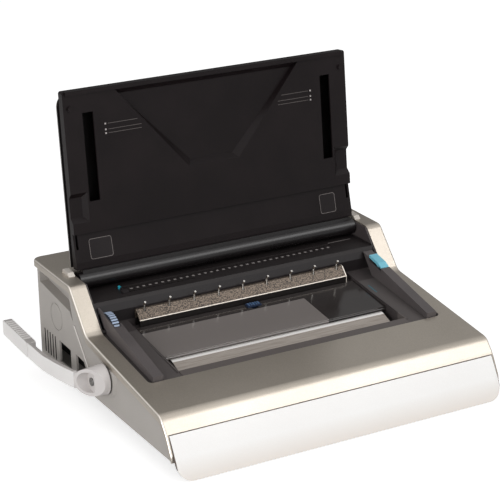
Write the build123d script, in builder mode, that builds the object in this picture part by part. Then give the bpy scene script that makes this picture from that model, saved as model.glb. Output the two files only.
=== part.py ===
from build123d import *
from math import cos, hypot, pi, radians, sin
import os

os.makedirs("parts", exist_ok=True)

# Electric wire binding machine: a counter-top punch and wire closer with its document lid open.
# Millimetres. X runs to the right, Y to the back, Z up. The origin is in the middle of the
# body in plan, on the surface that the feet stand on.

# Sizes that the whole machine follows
body_half_width = 220.0
mould_wall = 2.5
sheet_steel = 2.0
seat_gap = 0.3
slide_gap = 0.4
shaft_gap = 0.05
cut_over = 5.0
hood_side_width = 21.5
liner_side_wall = 2.0
frame_play = 1.5
pan_inset = 6.0
arm_inset = 3.2
arm_width = 13.0
step_width = 25.0
slot_inset = 46.5
bracket_gap = 8.0

# Hood line, from the foot of the front panel over the slope and the riser to the rear deck
front_foot_y = -193.0
front_foot_z = 1.5
seam_y = -168.0
seam_z = 49.5
nose_y = -154.0
nose_z = 67.0
low_bend_y = 38.7
low_bend_z = 92.7
high_bend_y = 82.4
high_bend_z = 142.3
deck_rear_y = 198.0
deck_rear_z = 143.7
nose_radius = 16.0
seam_radius = 40.0
low_bend_radius = 14.0
high_bend_radius = 12.0
hood_wall = 3.0
hood_skirt = 8.0
side_bottom_z = 21.0
panel_rear_y = 194.7

slope_share = (low_bend_z - nose_z) / (low_bend_y - nose_y)
deck_share = (deck_rear_z - high_bend_z) / (deck_rear_y - high_bend_y)
front_share = (seam_y - front_foot_y) / (seam_z - front_foot_z)
riser_share = (high_bend_y - low_bend_y) / (high_bend_z - low_bend_z)

# Cheek of the hood beside the drawer front, down to the height of the side panels
cheek_z = side_bottom_z + hood_skirt
cheek_y = seam_y - (seam_z - cheek_z) * front_share

# Opening of the hood over the working well
well_half_width = body_half_width - hood_side_width
well_front_y = -86.0
well_rear_y = 123.4
well_corner = 6.0

# Widths of what stands in the well and under it, from the opening inwards
liner_outer_x = well_half_width - seat_gap
step_outer_x = liner_outer_x - liner_side_wall
arm_outer_x = step_outer_x - arm_inset
arm_inner_x = arm_outer_x - arm_width
trough_half = arm_inner_x - step_width
frame_inner_x = well_half_width + frame_play
frame_outer_x = frame_inner_x + sheet_steel
pan_half = frame_inner_x - pan_inset
slot_half = well_half_width - slot_inset
bracket_inner_x = slot_half + bracket_gap


def on_slope(y):
    """Height of the front slope of the hood at y."""
    return nose_z + (y - nose_y) * slope_share


def on_deck(y):
    """Height of the rear deck of the hood at y."""
    return high_bend_z + (y - high_bend_y) * deck_share


def lowered(points, drop):
    """The same points, moved down by drop."""
    return [(y, z - drop) for y, z in points]


def leaned(origin_y, origin_z, lean, back, up):
    """Point of a frame that leans back by lean degrees: back and up are its own directions."""
    turn = radians(lean)
    return (
        origin_y + back * cos(turn) + up * sin(turn),
        origin_z - back * sin(turn) + up * cos(turn),
    )


def prism(outline, x_from, x_to, mode=Mode.ADD):
    """Side outline of (y, z) points, carried from x_from to x_to."""
    with BuildSketch(Plane.YZ.offset(x_from)) as side:
        with BuildLine():
            Polyline(*outline, close=True)
        make_face()
    extrude(side.sketch, amount=x_to - x_from, mode=mode)


def prism_pair(outline, x_near, x_far, mode=Mode.ADD):
    """The same side outline on the right and on the left of the machine."""
    prism(outline, x_near, x_far, mode)
    prism(outline, -x_far, -x_near, mode)


def block(x_from, x_to, y_from, y_to, z_from, z_to, mode=Mode.ADD):
    """Straight-sided block between the named faces."""
    outline = [(y_from, z_from), (y_to, z_from), (y_to, z_to), (y_from, z_to)]
    prism(outline, x_from, x_to, mode)


def block_pair(x_near, x_far, y_from, y_to, z_from, z_to, mode=Mode.ADD):
    """The same block on the right and on the left of the machine."""
    block(x_near, x_far, y_from, y_to, z_from, z_to, mode)
    block(-x_far, -x_near, y_from, y_to, z_from, z_to, mode)


def rod(y, z, radius, x_from, x_to, mode=Mode.ADD):
    """Round bar along X."""
    with BuildSketch(Plane.YZ.offset(x_from)) as end:
        with Locations((y, z)):
            Circle(radius)
    extrude(end.sketch, amount=x_to - x_from, mode=mode)


def post(x, y, radius, z_from, z_to, mode=Mode.ADD):
    """Round post along Z."""
    with BuildSketch(Plane.XY.offset(z_from)) as foot:
        with Locations((x, y)):
            Circle(radius)
    extrude(foot.sketch, amount=z_to - z_from, mode=mode)


def save(piece, name):
    """Label a finished piece and write its file."""
    piece.part.label = name
    export_step(piece.part, f"parts/{name}.step")


# Hood line as a list of corners, and the radius of each bend between its ends
hood_corners = [
    (cheek_y, cheek_z),
    (seam_y, seam_z),
    (nose_y, nose_z),
    (low_bend_y, low_bend_z),
    (high_bend_y, high_bend_z),
    (deck_rear_y, deck_rear_z),
]
hood_radii = [seam_radius, nose_radius, low_bend_radius, high_bend_radius]


def hood_band(corners, radii, top_drop, bottom_drop, x_from, x_to, mode=Mode.ADD):
    """Band that follows the hood line, between two drops below it."""
    with BuildSketch(Plane.YZ.offset(x_from)) as side:
        with BuildLine():
            top = FilletPolyline(*lowered(corners, top_drop), radius=radii)
            low = FilletPolyline(*lowered(corners, bottom_drop), radius=radii)
            Line(top @ 0, low @ 0)
            Line(top @ 1, low @ 1)
        make_face()
    extrude(side.sketch, amount=x_to - x_from, mode=mode)


# Hood: one moulding, painted metallic, with a skirt all round and the well cut out of it
hood_edge_radius = 2.4
hood_corner_radius = 12.0
hood_seam_lip = seam_z + seat_gap
hood_inner_half = body_half_width - hood_wall
hood_inner_rear = deck_rear_y - hood_wall


def hood_plan(half, rear_y, corner, mode):
    """Keep what lies inside the plan of the hood, with its rear corners rounded."""
    with BuildSketch(Plane.XY) as plan:
        with BuildLine():
            Line((-half, cheek_y - cut_over), (half, cheek_y - cut_over))
            Line((half, cheek_y - cut_over), (half, rear_y - corner))
            RadiusArc((half, rear_y - corner), (half - corner, rear_y), -corner)
            Line((half - corner, rear_y), (corner - half, rear_y))
            RadiusArc((corner - half, rear_y), (-half, rear_y - corner), -corner)
            Line((-half, rear_y - corner), (-half, cheek_y - cut_over))
        make_face()
    extrude(plan.sketch, amount=deck_rear_z + cut_over, mode=mode)


with BuildPart() as hood_hollow:
    hood_band(
        hood_corners, hood_radii, hood_wall, hood_skirt + cut_over,
        -hood_inner_half, hood_inner_half,
    )
    hood_plan(hood_inner_half, hood_inner_rear, hood_corner_radius - hood_wall, Mode.INTERSECT)

with BuildPart() as top_shell:
    hood_band(hood_corners, hood_radii, 0, hood_skirt, -body_half_width, body_half_width)
    hood_plan(body_half_width, deck_rear_y, hood_corner_radius, Mode.INTERSECT)
    top_faces = [face for face in top_shell.faces() if face.normal_at().Z > 0.2]
    side_edges = [
        edge for face in top_faces for edge in face.edges()
        if abs(edge.center().X) > body_half_width - seat_gap
    ]
    fillet(side_edges, hood_edge_radius)
    add(hood_hollow.part, mode=Mode.SUBTRACT)
    block(
        -hood_inner_half, hood_inner_half, cheek_y - cut_over, seam_y + 2 * cut_over,
        0, hood_seam_lip, Mode.SUBTRACT,
    )
    with BuildSketch(Plane.XY) as well_plan:
        with Locations((0, (well_front_y + well_rear_y) / 2)):
            RectangleRounded(2 * well_half_width, well_rear_y - well_front_y, well_corner)
    extrude(well_plan.sketch, amount=deck_rear_z + cut_over, mode=Mode.SUBTRACT)
save(top_shell, "top_shell")

# Side covers: panels under the skirt, with a scooped hand grip, vents and cooling windows
cover_inset = 2.5
cover_wall = 2.5
cover_outer_x = body_half_width - cover_inset
cover_inner_x = cover_outer_x - cover_wall
cover_bottom_z = side_bottom_z - seat_gap
cover_drop = hood_skirt + seat_gap
corner_radius = 12.0
corner_start_y = panel_rear_y - corner_radius
corner_start_x = cover_outer_x - corner_radius
grip_front_y = 80.0
grip_knee_y = 90.0
grip_rear_y = 178.0
grip_top_drop = 11.5
grip_front_z = 97.0
grip_knee_z = 108.0
grip_rear_z = 118.0
grip_depth = 12.0
grip_floor_x = cover_outer_x - grip_depth
vent_count = 5
vent_rear_y = 171.0
vent_pitch = 8.0
vent_width = 3.4
vent_low_z = 27.0
vent_high_z = 58.5
window_low_z = 30.0
rear_window_front_y = 92.0
rear_window_rear_y = 126.0
rear_window_front_z = 56.5
rear_window_rear_z = 58.0
front_window_front_y = 47.0
front_window_rear_y = 76.0
front_window_front_z = 46.0
front_window_knee_y = 53.0
front_window_knee_z = 55.5
front_window_rear_z = 57.5
badge_y = 131.0
badge_z = 87.0
badge_radius = 17.5
badge_groove = 1.0
badge_groove_depth = 0.8
rib_width = 3.6
rib_height = 1.2
rib_end_z = 36.0
flange_wall = 2.5
flange_inner_x = pan_half + slide_gap
cover_boss_radius = 5.0
cover_boss_y = 140.0
cover_boss_z = 72.0

# Lever axle, and the raised boss of the left cover round it
lever_y = -16.0
lever_z = 61.0
lever_shaft_radius = 3.5
boss_base_radius = 24.0
boss_top_radius = 21.0
boss_height = 3.5
boss_face_x = cover_outer_x + boss_height
boss_bore_radius = 8.0
boss_window_inner = 14.6
boss_window_outer = 18.0
boss_window_from = 95.0
boss_window_to = 265.0
slit_y = -30.0
slit_z = 74.0
slit_width = 1.6
slit_length = 10.0


def cover_panel(side):
    """Panel for one side with its flange, grip and openings; side is 1 or -1."""
    outer = side * cover_outer_x
    inner = side * cover_inner_x
    beyond = side * (cover_outer_x + cut_over)
    behind = side * (cover_inner_x - cut_over)
    corners = hood_corners[:-1] + [(corner_start_y, on_deck(corner_start_y))]
    with BuildSketch(Plane.YZ.offset(inner)) as panel:
        with BuildLine():
            top = FilletPolyline(*lowered(corners, cover_drop), radius=hood_radii)
            Polyline(top @ 1, (corner_start_y, cover_bottom_z), top @ 0)
        make_face()
    extrude(panel.sketch, amount=outer - inner)
    with BuildSketch(Plane.XY.offset(cover_bottom_z)) as corner:
        with BuildLine():
            arc_end = side * corner_start_x
            outer_arc = RadiusArc(
                (outer, corner_start_y), (arc_end, panel_rear_y), -side * corner_radius
            )
            inner_arc = RadiusArc(
                (inner, corner_start_y), (arc_end, panel_rear_y - cover_wall),
                -side * (corner_radius - cover_wall),
            )
            Line(outer_arc @ 0, inner_arc @ 0)
            Line(outer_arc @ 1, inner_arc @ 1)
        make_face()
    extrude(corner.sketch, amount=on_deck(corner_start_y) - cover_drop - cover_bottom_z)
    block(
        side * flange_inner_x, inner, cheek_y + hood_skirt, corner_start_y,
        cover_bottom_z, cover_bottom_z + flange_wall,
    )
    tub_outline = [
        (grip_front_y - cover_wall, grip_front_z - cover_wall),
        (grip_knee_y - cover_wall, grip_knee_z - cover_wall),
        (grip_rear_y + cover_wall, grip_rear_z - cover_wall),
        (grip_rear_y + cover_wall, on_deck(grip_rear_y) - grip_top_drop + cover_wall),
        (grip_knee_y - cover_wall, on_deck(grip_knee_y) - grip_top_drop + cover_wall),
    ]
    grip_outline = [
        (grip_front_y, grip_front_z),
        (grip_knee_y, grip_knee_z),
        (grip_rear_y, grip_rear_z),
        (grip_rear_y, on_deck(grip_rear_y) - grip_top_drop),
        (grip_knee_y, on_deck(grip_knee_y) - grip_top_drop),
    ]
    prism(tub_outline, side * (grip_floor_x - cover_wall), inner)
    prism(grip_outline, side * grip_floor_x, beyond, Mode.SUBTRACT)
    for index in range(vent_count):
        middle_y = vent_rear_y - index * vent_pitch
        block(
            behind, beyond, middle_y - vent_width / 2, middle_y + vent_width / 2,
            vent_low_z, vent_high_z, Mode.SUBTRACT,
        )
    rear_window = [
        (rear_window_front_y, window_low_z),
        (rear_window_rear_y, window_low_z),
        (rear_window_rear_y, rear_window_rear_z),
        (rear_window_front_y, rear_window_front_z),
    ]
    front_window = [
        (front_window_front_y, window_low_z),
        (front_window_rear_y, window_low_z),
        (front_window_rear_y, front_window_rear_z),
        (front_window_knee_y, front_window_knee_z),
        (front_window_front_y, front_window_front_z),
    ]
    prism(rear_window, behind, beyond, Mode.SUBTRACT)
    prism(front_window, behind, beyond, Mode.SUBTRACT)
    with BuildSketch(Plane.YZ.offset(side * (cover_outer_x - badge_groove_depth))) as badge:
        with Locations((badge_y, badge_z)):
            Circle(badge_radius)
            Circle(badge_radius - badge_groove, mode=Mode.SUBTRACT)
    extrude(badge.sketch, amount=side * cut_over, mode=Mode.SUBTRACT)
    rib_top_y = grip_front_y - cover_wall
    rib_top_z = grip_front_z - cover_wall
    rib_low_y = rib_top_y - (rib_top_z - rib_end_z) * riser_share
    rib = [
        (rib_top_y, rib_top_z),
        (rib_top_y - rib_width, rib_top_z),
        (rib_low_y - rib_width, rib_end_z),
        (rib_low_y, rib_end_z),
    ]
    prism(rib, outer, side * (cover_outer_x + rib_height))
    rod(cover_boss_y, cover_boss_z, cover_boss_radius, side * frame_outer_x, inner)


with BuildPart() as right_side_cover:
    cover_panel(1)
save(right_side_cover, "right_side_cover")

with BuildPart() as left_side_cover:
    cover_panel(-1)
    with BuildSketch(Plane.YZ.offset(-cover_outer_x)) as boss_base:
        with Locations((lever_y, lever_z)):
            Circle(boss_base_radius)
    with BuildSketch(Plane.YZ.offset(-boss_face_x)) as boss_top:
        with Locations((lever_y, lever_z)):
            Circle(boss_top_radius)
    loft([boss_base.sketch, boss_top.sketch])
    rod(
        lever_y, lever_z, boss_top_radius - cover_wall, cut_over - cover_inner_x,
        cover_wall - boss_face_x, Mode.SUBTRACT,
    )
    rod(
        lever_y, lever_z, boss_bore_radius, -boss_face_x - cut_over,
        cut_over - cover_inner_x, Mode.SUBTRACT,
    )
    block(
        -boss_face_x - cut_over, -cover_outer_x, lever_y - 2 * boss_base_radius,
        lever_y + 2 * boss_base_radius, 0, cover_bottom_z, Mode.SUBTRACT,
    )
    skirt_line = [
        (lever_y - 2 * boss_base_radius, on_slope(lever_y - 2 * boss_base_radius) - cover_drop),
        (lever_y + 2 * boss_base_radius, on_slope(lever_y + 2 * boss_base_radius) - cover_drop),
        (lever_y + 2 * boss_base_radius, deck_rear_z),
        (lever_y - 2 * boss_base_radius, deck_rear_z),
    ]
    prism(skirt_line, -boss_face_x - cut_over, -cover_outer_x, Mode.SUBTRACT)
    with BuildSketch(Plane.YZ.offset(-boss_face_x - cut_over)) as crescent:
        with Locations((lever_y, lever_z)):
            Circle(boss_window_outer)
            Circle(boss_window_inner, mode=Mode.SUBTRACT)
        with BuildLine():
            reach = 2 * boss_base_radius
            Polyline(
                (lever_y, lever_z),
                (lever_y + reach * cos(radians(boss_window_from)),
                 lever_z + reach * sin(radians(boss_window_from))),
                (lever_y - reach, lever_z + reach),
                (lever_y - reach, lever_z - reach),
                (lever_y + reach * cos(radians(boss_window_to)),
                 lever_z + reach * sin(radians(boss_window_to))),
                close=True,
            )
        make_face(mode=Mode.INTERSECT)
    extrude(crescent.sketch, amount=cut_over + cover_wall + cut_over, mode=Mode.SUBTRACT)
    block(
        -cover_outer_x - cut_over, cut_over - cover_inner_x, slit_y,
        slit_y + slit_width, slit_z, slit_z + slit_length, Mode.SUBTRACT,
    )
save(left_side_cover, "left_side_cover")

# Rear cover with its vents and the cut-outs for the mains inlet and the switch
rear_half = corner_start_x - seat_gap
rear_inner_y = panel_rear_y - cover_wall
rear_top_z = on_deck(rear_inner_y) - hood_wall - seat_gap
inlet_inset = 45.5
inlet_x = inlet_inset - corner_start_x
inlet_z = 72.0
inlet_width = 27.0
inlet_height = 20.0
switch_pitch = 42.0
switch_x = inlet_x + switch_pitch
switch_width = 19.0
switch_height = 13.0
rear_vent_count = 9
rear_vent_pitch = 14.0
rear_vent_width = 8.0
rear_vent_height = 3.0
rear_vent_rows = 4
rear_vent_row_pitch = 8.0
rear_vent_inset = 105.5
rear_vent_x = corner_start_x - rear_vent_inset
rear_vent_z = 100.0
screw_shank_radius = 1.6
screw_head_radius = 3.4
screw_head_height = 1.8
screw_length = 10.0
screw_play = 0.15
rear_screw_inset = 9.5
rear_screw_x = corner_start_x - rear_screw_inset
rear_screw_low_z = 34.0
rear_screw_high_z = 122.0
rear_screws = [
    (x, z) for x in (-rear_screw_x, rear_screw_x) for z in (rear_screw_low_z, rear_screw_high_z)
]
pan_rear_y = 188.0

with BuildPart() as rear_cover:
    block(-rear_half, rear_half, rear_inner_y, panel_rear_y, cover_bottom_z, rear_top_z)
    block(
        -rear_half, rear_half, pan_rear_y + seat_gap, rear_inner_y,
        cover_bottom_z, cover_bottom_z + flange_wall,
    )
    with BuildSketch(Plane.XZ.offset(-panel_rear_y - cut_over)) as rear_cuts:
        with Locations((inlet_x, inlet_z)):
            Rectangle(inlet_width + seat_gap, inlet_height + seat_gap)
        with Locations((switch_x, inlet_z)):
            Rectangle(switch_width + seat_gap, switch_height + seat_gap)
        with Locations((rear_vent_x, rear_vent_z)):
            with GridLocations(
                rear_vent_pitch, rear_vent_row_pitch, rear_vent_count, rear_vent_rows
            ):
                SlotOverall(rear_vent_width, rear_vent_height)
        with Locations(*rear_screws):
            Circle(screw_shank_radius + screw_play)
    extrude(rear_cuts.sketch, amount=2 * cut_over + cover_wall, mode=Mode.SUBTRACT)
save(rear_cover, "rear_cover")

with BuildPart() as housing_screws:
    with BuildSketch(Plane.XZ.offset(-panel_rear_y - screw_head_height)) as heads:
        with Locations(*rear_screws):
            Circle(screw_head_radius)
    extrude(heads.sketch, amount=screw_head_height)
    with BuildSketch(Plane.XZ.offset(-panel_rear_y)) as shanks:
        with Locations(*rear_screws):
            Circle(screw_shank_radius)
    extrude(shanks.sketch, amount=screw_length)
save(housing_screws, "housing_screws")

# Base pan, open in front for the drawer, with the rails that carry the tray
pan_front_y = -160.0
pan_floor_z = 3.0
pan_top_z = 44.0
pan_inner = pan_half - mould_wall
pan_inner_rear = pan_rear_y - mould_wall
rail_width = 5.0
rail_top_z = 38.2
rail_wall = 2.2

pad_half = 95.0
pad_depth = 1.0

with BuildPart() as base_pan:
    block(-pan_half, pan_half, pan_front_y, pan_rear_y, pan_floor_z, pan_top_z)
    block(
        -pan_inner, pan_inner, pan_front_y - cut_over, pan_inner_rear,
        pan_floor_z + mould_wall, pan_top_z + cut_over, Mode.SUBTRACT,
    )
    block_pair(
        pan_inner - rail_width, pan_inner, pan_front_y, pan_inner_rear,
        rail_top_z - rail_wall, rail_top_z,
    )
    block(
        -pad_half, pad_half, -pad_half, pad_half, pan_floor_z - pad_depth,
        pan_floor_z + mould_wall,
    )
save(base_pan, "base_pan")

foot_radius = 9.0
foot_inset = 26.0
foot_x = pan_half - foot_inset
foot_front_y = -130.0
foot_rear_y = 162.0

with BuildPart() as rubber_feet:
    for foot_side in (-1, 1):
        post(foot_side * foot_x, foot_front_y, foot_radius, 0, pan_floor_z)
        post(foot_side * foot_x, foot_rear_y, foot_radius, 0, pan_floor_z)
save(rubber_feet, "rubber_feet")

# Drawer for the punched chips: a tray on the rails of the pan, and the front of the machine
tray_play = 0.5
tray_half = pan_inner - rail_width - tray_play
tray_front_y = -163.0
tray_rear_y = 150.0
tray_floor_z = 6.2
tray_wall = 2.0
tray_top_z = 40.7
tray_lip = 4.6

with BuildPart() as chip_drawer_tray:
    block(-tray_half, tray_half, tray_front_y, tray_rear_y, tray_floor_z, tray_top_z)
    block_pair(
        tray_half, tray_half + tray_lip, pan_front_y, tray_rear_y,
        rail_top_z + seat_gap, tray_top_z,
    )
    block(
        -tray_half + tray_wall, tray_half - tray_wall, tray_front_y + tray_wall,
        tray_rear_y - tray_wall, tray_floor_z + tray_wall, tray_top_z + cut_over,
        Mode.SUBTRACT,
    )
save(chip_drawer_tray, "chip_drawer_tray")

front_half = hood_inner_half - slide_gap
front_wall = 3.0
front_bulge = 1.4
front_corner = 18.0
front_top_z = seam_z - seat_gap
front_top_y = seam_y - (seam_z - front_top_z) * front_share
front_middle_z = (front_top_z + front_foot_z) / 2
front_middle_y = (front_top_y + front_foot_y) / 2 - front_bulge
front_flange = 14.0
front_rib_inset = 36.0
front_rib_x = tray_half - front_rib_inset
front_lap = 1.0
front_rib_low_z = 12.0
front_rib_high_z = 38.0

with BuildPart() as drawer_front:
    with BuildSketch(Plane.YZ.offset(-front_half)) as front_side:
        with BuildLine():
            outside = ThreePointArc(
                (front_foot_y, front_foot_z), (front_middle_y, front_middle_z),
                (front_top_y, front_top_z),
            )
            inside = ThreePointArc(
                (front_foot_y + front_wall, front_foot_z),
                (front_middle_y + front_wall, front_middle_z),
                (front_top_y + front_wall, front_top_z),
            )
            Line(outside @ 0, inside @ 0)
            Line(outside @ 1, inside @ 1)
        make_face()
    extrude(front_side.sketch, amount=2 * front_half)
    with BuildSketch(Plane.XZ.offset(-front_top_y)) as front_face:
        with Locations((0, front_top_z)):
            RectangleRounded(
                2 * front_half, 2 * (front_top_z - front_foot_z), front_corner
            )
    extrude(front_face.sketch, amount=2 * (front_top_y - front_foot_y), both=True,
            mode=Mode.INTERSECT)
    block(
        -front_half + front_corner, front_half - front_corner, front_top_y + front_lap,
        front_top_y + front_flange, front_top_z - front_wall, front_top_z,
    )
    for rib_x in (-front_rib_x, -front_rib_x / 3, front_rib_x / 3, front_rib_x):
        rib_outline = [
            (front_foot_y + front_rib_low_z * front_share - front_bulge, front_rib_low_z),
            (tray_front_y, front_rib_low_z),
            (tray_front_y, front_rib_high_z),
            (front_foot_y + front_rib_high_z * front_share - front_bulge, front_rib_high_z),
        ]
        prism(rib_outline, rib_x - front_wall / 2, rib_x + front_wall / 2)
save(drawer_front, "drawer_front")

# Steel chassis plate on the walls of the pan, and the two side frames that stand on it
chassis_half = frame_inner_x
chassis_front_y = -60.0
chassis_rear_y = 186.0
chassis_top_z = pan_top_z + sheet_steel
chip_hole_inset = 2.0
chip_hole_half = slot_half - chip_hole_inset
chip_hole_front_y = 62.0
chip_hole_rear_y = 96.0
frame_flange = 12.0
hinge_y = 112.0
hinge_z = 135.0
hinge_pin_radius = 2.5
hinge_pin_proud = 0.8
hinge_pin_outer_x = frame_outer_x + hinge_pin_proud
dial_y = 42.0
dial_z = 93.0
dial_axle_radius = 3.0
bush_outer_radius = 6.0
frame_front_y = -45.0
frame_front_z = 73.0
frame_knee_y = 40.0
frame_knee_z = 85.0
frame_top_y = 88.0
frame_top_z = 138.6
frame_rear_y = 150.0
frame_side = [
    (frame_front_y, pan_top_z),
    (frame_front_y, frame_front_z),
    (frame_knee_y, frame_knee_z),
    (frame_top_y, frame_top_z),
    (frame_rear_y, frame_top_z),
    (frame_rear_y, pan_top_z),
]

with BuildPart() as chassis_plate:
    block(
        -chassis_half, chassis_half, chassis_front_y, chassis_rear_y, pan_top_z, chassis_top_z
    )
    block(
        -chip_hole_half, chip_hole_half, chip_hole_front_y, chip_hole_rear_y,
        pan_top_z - cut_over, chassis_top_z + cut_over, Mode.SUBTRACT,
    )
save(chassis_plate, "chassis_plate")


def frame_plate(side):
    """Side frame with its foot flange and the hole for the lid hinge pin."""
    prism(frame_side, side * frame_inner_x, side * frame_outer_x)
    block(
        side * (frame_inner_x - frame_flange), side * frame_inner_x, frame_side[0][0],
        frame_side[-1][0], chassis_top_z, chassis_top_z + sheet_steel,
    )
    rod(
        hinge_y, hinge_z, hinge_pin_radius + shaft_gap, side * (frame_inner_x - cut_over),
        side * (frame_outer_x + cut_over), Mode.SUBTRACT,
    )


with BuildPart() as right_frame:
    frame_plate(1)
save(right_frame, "right_frame")

with BuildPart() as left_frame:
    frame_plate(-1)
    rod(
        lever_y, lever_z, bush_outer_radius, -frame_outer_x - cut_over,
        cut_over - frame_inner_x, Mode.SUBTRACT,
    )
save(left_frame, "left_frame")

# Steps on both sides of the working well, and the closing trough between them
step_drop = 2.0
trough_outer_x = trough_half + mould_wall
liner_front_y = -85.7
ledge_rear_y = -73.0
ledge_drop = 0.6
ledge_skirt = 9.0
trough_floor_z = 57.5
trough_rear_y = -34.0
step_rear_y = 60.0
shelf_front_y = 44.5
shelf_z = 86.0
rear_wall_z = 109.0
throat_top_y = 65.5
throat_top_z = 121.5
throat_rear_y = 122.5
wall_top_drop = 1.6

# Paper throat, and the frame of the punch that leans with it
slot_y = 97.0
punch_lean = 8.2
slot_mouth = 5.6

# Hooks that carry the open wire, in three groups of pitches
bar_inset = 9.5
bar_half = trough_half - bar_inset
hook_pitch = 33.87
hook_margin = 8.0
hook_count = 2 * int((bar_half - hook_margin) / hook_pitch) + 1

# Pins of the storage lid, in the end walls of the trough
storage_hinge_y = -29.0
storage_hinge_z = 74.6
storage_pin_radius = 1.5

# Arms on the steps
arm_wall = 2.0
arm_front_y = -84.5
arm_front_z = 82.0
arm_rear_y = 61.0
arm_heel_y = 41.0
arm_share = 0.2414

# Size dial let into the left arm
dial_radius = 22.5
dial_inset = 2.5
dial_inner_x = arm_inner_x + dial_inset
dial_outer_x = arm_outer_x - dial_inset
dial_play = 1.6
dial_lug_outer_x = dial_inner_x - dial_play - seat_gap
dial_lug_inner_x = dial_lug_outer_x - mould_wall
dial_lug_half = 7.0
dial_lug_low_z = 80.0

# Guide for the edge of the paper, and the slit that it slides in
guide_slit_y = 79.6
guide_slit_width = 2.4
guide_slit_over = 1.0
guide_slit_length = 100.0
guide_slit_from = -slot_half - guide_slit_over
guide_slit_to = guide_slit_from + guide_slit_length


def on_arm(y):
    """Height of the top of an arm at y."""
    return arm_front_z + (y - arm_front_y) * arm_share


def sheet_outline(points, wall):
    """Closed outline of a folded sheet; the points run along one face, wall is its thickness."""
    normals = []
    for (y_from, z_from), (y_to, z_to) in zip(points, points[1:]):
        length = hypot(y_to - y_from, z_to - z_from)
        normals.append(((z_from - z_to) / length, (y_to - y_from) / length))
    far_side = []
    for index, (y, z) in enumerate(points):
        before = normals[max(index - 1, 0)]
        after = normals[min(index, len(normals) - 1)]
        reach = wall / (1 + before[0] * after[0] + before[1] * after[1])
        far_side.append((y + (before[0] + after[0]) * reach, z + (before[1] + after[1]) * reach))
    return points + far_side[::-1]


def leaned_box(lean_y, lean_z, lean, back_from, back_to, up_from, up_to):
    """Rectangle in a frame that leans back, as points of the side view."""
    return [
        leaned(lean_y, lean_z, lean, back_from, up_from),
        leaned(lean_y, lean_z, lean, back_to, up_from),
        leaned(lean_y, lean_z, lean, back_to, up_to),
        leaned(lean_y, lean_z, lean, back_from, up_to),
    ]


hook_xs = [(index - (hook_count - 1) / 2) * hook_pitch for index in range(hook_count)]
step_front = (liner_front_y, on_slope(liner_front_y) - step_drop)
step_rear = (step_rear_y, on_slope(step_rear_y) - step_drop)
ledge_front = (liner_front_y, on_slope(liner_front_y) - ledge_drop)
ledge_rear = (ledge_rear_y, on_slope(ledge_rear_y) - ledge_drop)
liner_foot_z = on_slope(liner_front_y) - ledge_skirt

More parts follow.
